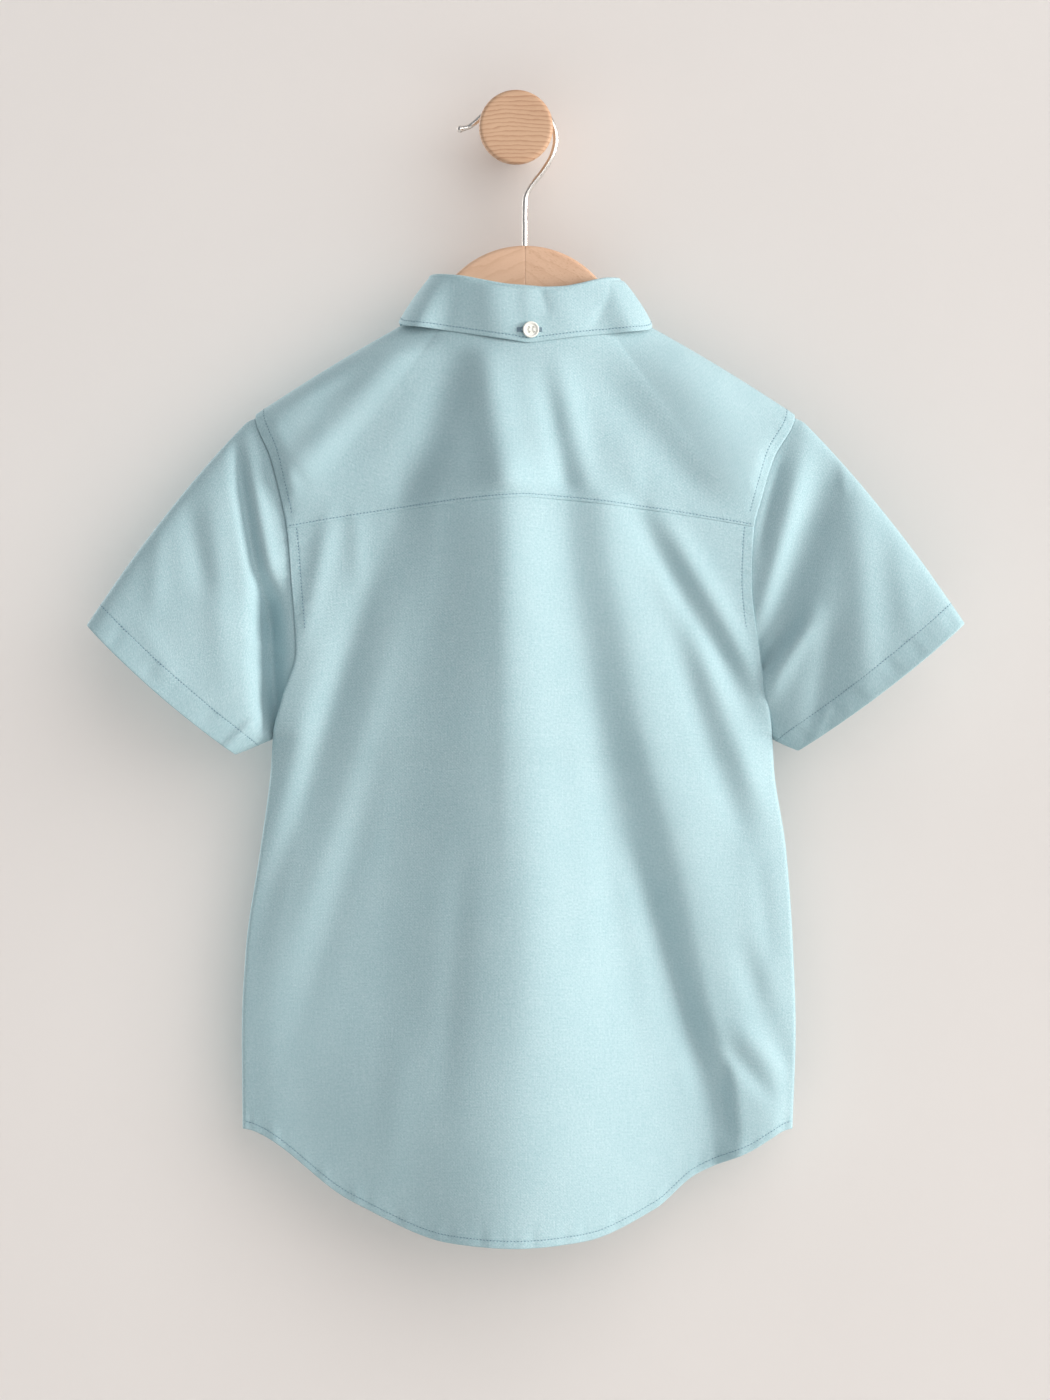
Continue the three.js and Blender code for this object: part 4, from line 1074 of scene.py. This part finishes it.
def sleevePoint(which, around, along):
    # around: 0 top fold, 0.25 back, 0.5 underarm, 0.75 front; along: armhole to cuff
    angle = around * 2 * np.pi
    down = (1 - np.cos(angle)) / 2
    facing = np.where(around <= 0.5, back, front)
    z = mix(shoulder["z"] - 0.8, armhole["bottomZ"] - 1.0, down)
    behind, ahead = armholePoint(which, back, z), armholePoint(which, front, z)
    start = np.where((facing == back)[..., None], behind, ahead)
    start[..., 0] -= which * 2.0
    start[..., 1] -= facing * np.minimum(1.5, abs(start[..., 1] - midY))
    cuff = sleeves[which]
    endX, endZ = mix(cuff["topX"], cuff["lowX"], down), mix(cuff["topZ"], cuff["lowZ"], down)
    run = math.hypot(cuff["lowX"] - cuff["topX"], cuff["lowZ"] - cuff["topZ"])
    bow = cuff["bow"] * 4 * down * (1 - down)
    endX = endX + which * bow * abs(cuff["lowZ"] - cuff["topZ"]) / run
    endZ = endZ - bow * abs(cuff["lowX"] - cuff["topX"]) / run
    swing = cuff["swing"] * (1 - down**1.5)
    end = point(endX, midY - swing + facing * cuff["deep"] * abs(np.sin(angle)) ** 0.5, endZ)
    p = mix(start, end, along[..., None])
    cap = 5.5 * bump(along) + 2.5 * smooth(along / 0.06) * (1 - smooth(along / 0.6))
    rise = cap * (1 - down) ** 2
    p[..., 0] += which * rise * 0.6
    p[..., 2] += rise * 0.8
    belly = abs(np.sin(angle)) ** 0.45
    lift = creases(p[..., 0], p[..., 2], sleeveCreases[which]) * belly * smooth(along / 0.05)
    lift = np.where(facing == back, 1, 0.15) * lift
    p[..., 1] += facing * (lift + 2.2 * bump(along) * belly)
    return p


around = np.linspace(0, 1, 201)[:-1]
cuffWay = np.array([
    *np.linspace(0, 0.84, 48), 0.852, 0.86, 0.868, 0.876, 0.89, 0.91, 0.93, 0.95, 0.965, 0.98, 0.99, 0.996,
    1.0,
])
cuffStitches = []
for which, name, node in ((left, "sleeveLeft", "sleeve_left"), (right, "sleeveRight", "sleeve_right")):
    grid = sleevePoint(which, *np.meshgrid(around, cuffWay))
    fromHem = runs(grid[::-1])[::-1]
    pucker = 0.32 * ripple(runs(grid[-1]), 24, 3.3 + which) * nearLine(fromHem - 9, 7)
    normals = gridNormals(grid, ring=True)
    outward = 1 if ((grid - grid.mean((0, 1))) * normals).sum() > 0 else -1
    normals = normals * outward
    seam = fromHem - cuffFold["stitch"], farOff, fromHem < cuffFold["edge"]
    inside, thickness = hemInside(fromHem, cuffFold["fold"], 0.7), 0.7 * quarterRound(fromHem, 1.0, 0.15)
    clothPiece(name, node, grid + normals * pucker[..., None], outward, thickness, inside, True, seam)
    share = [np.interp(-cuffFold["stitch"], -fromHem[:, c], cuffWay) for c in range(len(around))]
    line = sleevePoint(which, np.r_[around, 1.0 - 1e-6], np.r_[share, share[0]])
    cuffStitches.append(stitchLine(line, np.concatenate([normals[55], normals[55][:1]])))
print("sleeves made")

stitchPieces = {
    "yokeStitches": yokeStitches, "armholeStitches": armholeStitches, "collarStitches": collarStitches,
    "hemStitches": hemStitches, "sleeveHemStitches": cuffStitches, "placketStitches": placketStitches,
}
for name, lines in stitchPieces.items():
    stitchPiece(name, lines, seamThread)

# buttons: a turned rim and dish with four holes, sewn on with thread
button = {
    "dishHeight": 1.65, "holePlace": 1.35, "holeRadius": 0.62, "holeDepth": 0.95, "sides": 96,
    "clear": 0.34,
}
dishRadii = [0.0, 0.25, 0.5, 0.72, 0.9, 1.1, 1.3, 1.5, 1.7, 1.91, 2.1, 2.3, 2.5, 2.65, 2.8, 3.0]
rimRadii = [3.3, 3.6, 3.75, 3.95, 4.2, 4.45, 4.7, 4.9, 5.03, 5.1, 5.1, 5.0, 4.7, 4.3, 3.0, 1.5, 0.0]
rimHeights = [1.67, 1.75, 1.95, 2.2, 2.35, 2.4, 2.37, 2.2, 1.95, 1.6, 0.8, 0.4, 0.1, 0, 0, 0, 0]


def makeButton(name, node, centre, normal, spin):
    # the profile turned about the normal, with the dish pushed down inside the four holes
    normal = unit(normal)
    centre = centre + normal * button["clear"]
    across = unit(np.cross([0.0, 0.0, 1.0], normal))
    upward = np.cross(normal, across)
    c, s = math.cos(spin), math.sin(spin)

    def at(x, y, height):
        return centre + across * (x * c - y * s) + upward * (x * s + y * c) + normal * height

    radius = np.array(dishRadii + rimRadii)[:, None]
    angle = np.arange(button["sides"]) * 2 * np.pi / button["sides"]
    x, y = radius * np.cos(angle), radius * np.sin(angle)
    height = np.array([button["dishHeight"]] * len(dishRadii) + rimHeights)[:, None] + 0 * x
    dish, hole = slice(0, len(dishRadii)), button["holePlace"]
    for holeX, holeY in ((hole, hole), (hole, -hole), (-hole, hole), (-hole, -hole)):
        off = np.hypot(x - holeX, y - holeY)[dish]
        height[dish] -= button["holeDepth"] * smooth((button["holeRadius"] + 0.12 - off) / 0.24)
    skinned(name, at(x[..., None], y[..., None], height[..., None]), buttonFinish, node)
    # the thread: two short bars on each side, from an upper hole to the one below it
    t = np.linspace(0, 1, 9)[:, None]
    lines = []
    for holeX in (-hole, hole):
        for shift in (-0.16, 0.16):
            path = at(holeX + shift, mix(hole, -hole, t), button["dishHeight"] - 0.1 + 0.25 * bump(t))
            lines.append(stitchLine(path, np.broadcast_to(normal, (9, 3)), 0.2, 3.0, 9.0))
    return lines


def onCloth(grid, normal, x, z):
    # the point of the cloth at x and z: the nearest grid point, then along the plane through it
    near = np.argmin((grid[..., 0] - x) ** 2 + (grid[..., 2] - z) ** 2)
    base, out = grid.reshape(-1, 3)[near], normal.reshape(-1, 3)[near]
    y = base[1] - ((x - base[0]) * out[0] + (z - base[2]) * out[2]) / out[1]
    return np.array([x, y, z]), unit(out)


def buttonhole(place, length, lift, upright):
    # two rows of close short bars along a slit and a taller bar at each end
    bars = []
    for along in np.arange(-length / 2, length / 2 + 0.01, 0.46):
        atEnd = abs(along) > length / 2 - 2.6
        for side in ((0.0,) if atEnd else (-1.0, 1.0)):
            low, high = (-1.8, 1.8) if atEnd else (side * 1.15 - 0.8, side * 1.15 + 0.8)
            ends = [place(across, along) if upright else place(along, across) for across in (low, high)]
            path, normals = np.array([e[0] for e in ends]), np.array([e[1] for e in ends])
            bars.append(stitchLine(path, normals, lift, 3.4 if atEnd else 1.5, 9.0))
    return bars


outwards = np.array([0.0, 1.0, 0.0])
behind = abs(leafDegrees) < 60
leafPlace, leafNormal = leafPlace[foldCount:, behind], leafNormal[foldCount:, behind]
collarX, collarZ = 9.05, -126.4
at, normal = onCloth(leafPlace, leafNormal, collarX, collarZ)
threads = makeButton("collarBackButton", "collar_back_button", at + normal * 0.55, normal, 0.05)


def onLeaf(x, z):
    return onCloth(leafPlace, leafNormal, collarX - 0.5 + x, collarZ + z)


holes = buttonhole(onLeaf, 15.6, 0.55, False)
standAt = standPoint(np.array([-180.0]), np.array([0.5]))[0]
threads += makeButton("collarFrontButton", "collar_front_button", standAt + outwards * 0.45, outwards, 0.1)
holes += buttonhole(lambda x, z: (standAt + np.array([x, 0, z]), outwards), 13.0, 0.5, False)
bandPlace = placketPoint(bandAcross, np.linspace(0.005, 0.98, 500)[:, None])
bandNormal = gridNormals(bandPlace)
for i, z in enumerate((-178, -254, -330, -406, -482, -558)):
    at, normal = onCloth(bandPlace, bandNormal, centreX, z)
    name, node = f"frontButton{i + 1}", f"front_button_{i + 1}"
    threads += makeButton(name, node, at + normal * 0.5, normal, 0.3 * i)

    def onBand(x, up):
        return onCloth(bandPlace, bandNormal, centreX + x, z + up)

    holes += buttonhole(onBand, 15.0, 0.5, True)
stitchPiece("buttonholes", holes, holeThread)
stitchPiece("buttonThreads", threads, buttonThread)
print("buttons made")

# the hanger's two glued halves: x runs from the middle out to the rounded nose
hanger = {
    "humpTop": -72, "humpRadius": 60, "humpEnd": 46, "armStart": 66, "halfThickness": 5.5, "endX": 156,
    "armHeight": 25, "endHeight": 17, "archBottom": -118, "underCloth": 1.4, "nose": 9, "corner": 3.4,
    "sides": 72,
}


def ridgeZ(x):
    # the line from the neck's side to the shoulder point, with the shoulder's small rise
    along = (x - neck["halfWidth"]) / (shoulder["rightX"] - centreX - neck["halfWidth"])
    inside = np.clip(along, 0, 1)
    return mix(neck["sideZ"], shoulder["z"], along) + shoulder["rise"] * 4 * inside * (1 - inside)


def hangerTop(x):
    # a round hump in the middle running into the arm, underCloth below the shoulder line
    radius = hanger["humpRadius"]
    hump = hanger["humpTop"] - radius + np.sqrt(np.maximum(radius**2 - x**2, 0))
    onArm = smooth((x - hanger["humpEnd"]) / (hanger["armStart"] - hanger["humpEnd"]))
    return mix(hump, ridgeZ(x) - hanger["underCloth"], onArm)


def hangerHalf(which, name, node, finish):
    noseStart = hanger["endX"] - hanger["nose"]
    noseX = noseStart + hanger["nose"] * np.sin(np.linspace(0.05, 0.5, 14) * np.pi)
    x = np.array([0.04, 0.12, 0.35, *np.linspace(1.2, noseStart, 110), *noseX])
    along = np.clip((x - neck["halfWidth"]) / (hanger["endX"] - neck["halfWidth"]), 0, 1)
    armHeight = mix(hanger["armHeight"], hanger["endHeight"], along)
    arm = hangerTop(np.maximum(x, hanger["armStart"])) - armHeight
    top, low = hangerTop(x), mix(hanger["archBottom"], arm, smooth(x / hanger["armStart"]))
    nose = np.sqrt(np.maximum(1 - np.clip((x - noseStart) / hanger["nose"], 0, 1) ** 2, 0.0004))
    deep, high = hanger["halfThickness"] * mix(0.35, 1, nose), (top - low) / 2 * nose
    easedEnd = np.minimum(1, 0.985 + 0.015 * np.sqrt(np.clip((x - 0.04) / 0.3, 0, 1)))[:, None]
    # a rounded rectangle: straight faces joined by quarter turns of the corner radius
    angle = np.linspace(0, 2 * np.pi, hanger["sides"] + 1)[:-1]
    corner = np.minimum(np.minimum(hanger["corner"], deep), high)

    def rounded(half, turn):
        square = np.clip(np.sign(turn) * abs(turn) ** 0.5 * 1.6, -1, 1)
        return (half - corner)[:, None] * square + corner[:, None] * turn

    y, z = rounded(deep, np.cos(angle)), rounded(high, np.sin(angle))
    middle = ((top + low) / 2)[:, None]
    rings = point(centreX + which * x[:, None], midY + y * easedEnd, middle + z * easedEnd)
    skinned(name, rings, finish, node)


hangerHalf(left, "hangerLeft", "hanger_left", woods["hangerWoodLeft"])
hangerHalf(right, "hangerRight", "hanger_right", woods["hangerWoodRight"])


def alongRoute(route, count):
    # a cubic between each two points, with slopes from their neighbours; the time from one point
    # to the next is the square root of their distance
    route = np.asarray(route, float)
    reach = np.insert(np.cumsum(np.linalg.norm(np.diff(route, axis=0), axis=1) ** 0.5), 0, 0)
    where = np.linspace(0, reach[-1], count)
    slope = np.gradient(route, reach, axis=0)
    k = np.clip(np.searchsorted(reach, where, side="right") - 1, 0, len(route) - 2)
    wide = (reach[k + 1] - reach[k])[:, None]
    t = ((where - reach[k]) / wide[:, 0])[:, None]
    ends = (1 + 2 * t) * (1 - t) ** 2 * route[k] + t * t * (3 - 2 * t) * route[k + 1]
    return ends + t * (1 - t) * wide * ((1 - t) * slope[k] - t * slope[k + 1])


hookRoute = [
    [-34, 1], [-29.5, 2.2], [-25.2, 5.3], [-21, 9.2], [-14.5, 14.2], [-6.5, 17.6], [1.5, 18.3], [10, 16.4],
    [17.8, 11.6], [23.2, 3.5], [24.8, -6], [22.4, -16], [16.4, -26], [10, -34], [6.2, -41], [5.5, -49],
    [5.5, -60], [5.5, -93],
]
wire = {"radius": 1.75, "ball": 2.35, "sides": 28}


def hookRings():
    # a circle of the wire's radius carried along the route
    flat = alongRoute(hookRoute, 320)
    path = point(flat[:, 0], midY, flat[:, 1])
    along = unit(np.gradient(path, axis=0))
    deep = np.array([0.0, 1.0, 0.0])
    angle = (np.arange(wire["sides"]) * 2 * np.pi / wire["sides"])[:, None]
    circle = np.cos(angle) * deep + np.sin(angle) * np.cross(along, deep)[:, None]
    # the end is upset into a small button: a rounded head, a waist, then the plain wire
    size = wire["radius"] * (1 - 0.12 * nearLine(runs(path) - 4.2, 1.6))
    rings = path[:, None] + size[:, None, None] * circle
    turn = (np.linspace(0.06, 1, 16) * np.pi * 0.62)[:, None, None]
    head = path[0] + along[0] * (-0.8 - wire["ball"] * 0.9 * np.cos(turn))
    head = head + wire["ball"] * np.sin(turn) * circle[0]
    return np.concatenate([head, rings[3:]])


skinned("hookWire", hookRings(), hookWire, "hanger_hook")


def pegRings():
    # a turned profile about the peg's axis: radius against distance from the wall
    profile = np.array([
        [0.3, 0], [13, 0], [13, 0.2], [14.2, 16], [15.9, 42], [16.2, 47], [16.6, 50], [18, 52], [19.2, 53],
        [20.6, 54.1], [21.8, 55.3], [22.5, 56.8], [22.85, 58.2], [23, 60], [23, 62.5], [22.95, 63.6],
        [22.75, 64.5],
        [22.35, 65.2], [21.8, 65.7], [21, 65.95], [20, 66], [15, 66], [10, 66], [5, 66], [0.3, 66],
    ])
    angle = np.arange(128) * 2 * np.pi / 128
    return point(profile[:, :1] * np.cos(angle), -profile[:, 1:], profile[:, :1] * np.sin(angle))


skinned("wallPeg", pegRings(), woods["pegWood"], "wall_peg")
print("hanger, hook and peg made")

scene = bpy.context.scene
rooms = {}  # what each group of lights reaches: the shirt and its hanger, or the wall and floor
for name in ("shirtAndHanger", "wallAndFloor"):
    rooms[name] = bpy.data.collections.new(name)
    scene.collection.children.link(rooms[name])
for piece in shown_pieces():
    rooms["shirtAndHanger"].objects.link(piece)


def stagePlane(name, corners, paint, tones):
    # seen from its front only, so that the views from behind look through it
    finish, shader, tree = newFinish(paint, {"Specular IOR Level": 0.1})
    where = addNode(tree, "ShaderNodeTexCoord").outputs["Object"]
    fine = noise(where, (220, 220, 220))
    colour = mixColour(spread(noise(where, (3, 3, 3), 3), 0.3, 0.7), *tones)
    dress(shader, colour, spread(fine, 0.3, 0.7, 0.86, 0.95), fine, 0.1, 0.5)
    clear = tree.nodes.new("ShaderNodeBsdfTransparent")
    behind = addNode(tree, "ShaderNodeNewGeometry").outputs["Backfacing"]
    blend = addNode(tree, "ShaderNodeMixShader", {0: behind, 1: shader.outputs[0], 2: clear.outputs[0]})
    tree.links.new(blend.outputs[0], tree.nodes["Material Output"].inputs[0])
    mesh = bpy.data.meshes.new(name)
    mesh.from_pydata(corners, [], [(0, 1, 2, 3)])
    mesh.materials.append(finish)
    plane = bpy.data.objects.new(name, mesh)
    scene.collection.objects.link(plane)
    plane.visible_shadow = False
    rooms["wallAndFloor"].objects.link(plane)


wallCorners = [(-4, 0.001, -1.6), (4, 0.001, -1.6), (4, 0.001, 4), (-4, 0.001, 4)]
floorCorners = [(-5, -6, -1.6), (5, -6, -1.6), (5, 6, -1.6), (-5, 6, -1.6)]
stagePlane("wallPlane", wallCorners, "wallPaint", ((0.80, 0.765, 0.74, 1), (0.82, 0.785, 0.76, 1)))
stagePlane("floorPlane", floorCorners, "floorPaint", ((0.74, 0.72, 0.70, 1), (0.77, 0.75, 0.73, 1)))

# the side light reaches the shirt and its hanger only, so that the wall keeps a short soft shadow
lights = {  # place, height aimed at, side, watts, colour, what it reaches
    "keyLight": ((3.4, -1.4, 0.2), -0.35, 1.3, 138, (1, 0.975, 0.94), "shirtAndHanger"),
    "frontLight": ((1.5, -3.6, 1.0), -0.35, 2.8, 62, (1, 0.985, 0.97), "shirtAndHanger"),
    "wallLight": ((2.3, -3.2, 1.8), -0.2, 5.5, 138, (1, 0.985, 0.965), "wallAndFloor"),
    "wallFill": ((0.3, -3.2, -0.9), -0.2, 4.5, 38, (1, 0.955, 0.91), "wallAndFloor"),
    "backLight": ((-2.8, 1.8, 0.7), -0.35, 2.0, 84, (1, 1, 1), None),
    "backFill": ((2.2, 2.8, 0.2), -0.35, 2.0, 22, (1, 1, 1), None),
}
for name, (place, aimZ, side, watts, colour, reached) in lights.items():
    lamp = bpy.data.lights.new(name, "AREA")
    lamp.shape, lamp.size, lamp.size_y = "RECTANGLE", side, side
    lamp.energy, lamp.color = watts, colour
    holder = bpy.data.objects.new(name, lamp)
    scene.collection.objects.link(holder)
    x, y, z = place
    tilt, turn = math.atan2(aimZ - z, math.hypot(x, y)), math.atan2(-y, -x)
    holder.location, holder.rotation_euler = place, (math.pi / 2 + tilt, 0, turn - math.pi / 2)
    if reached:
        holder.light_linking.receiver_collection = rooms[reached]

world = bpy.data.worlds.new("studioAir")
world.use_nodes = True
world.node_tree.nodes["Background"].inputs[0].default_value = (0.93, 0.95, 1.0, 1)
world.node_tree.nodes["Background"].inputs[1].default_value = 0.29
scene.world = world
scene.view_settings.view_transform = "Standard"

lens = bpy.data.cameras.new("camera")
lens.lens, lens.sensor_width, lens.clip_end = 107.8, 36, 50
holder = bpy.data.objects.new("camera", lens)
holder.location = (0.0056, -2.66, -0.355)
holder.rotation_euler = (math.pi / 2, 0, 0)
scene.collection.objects.link(holder)
scene.camera = holder
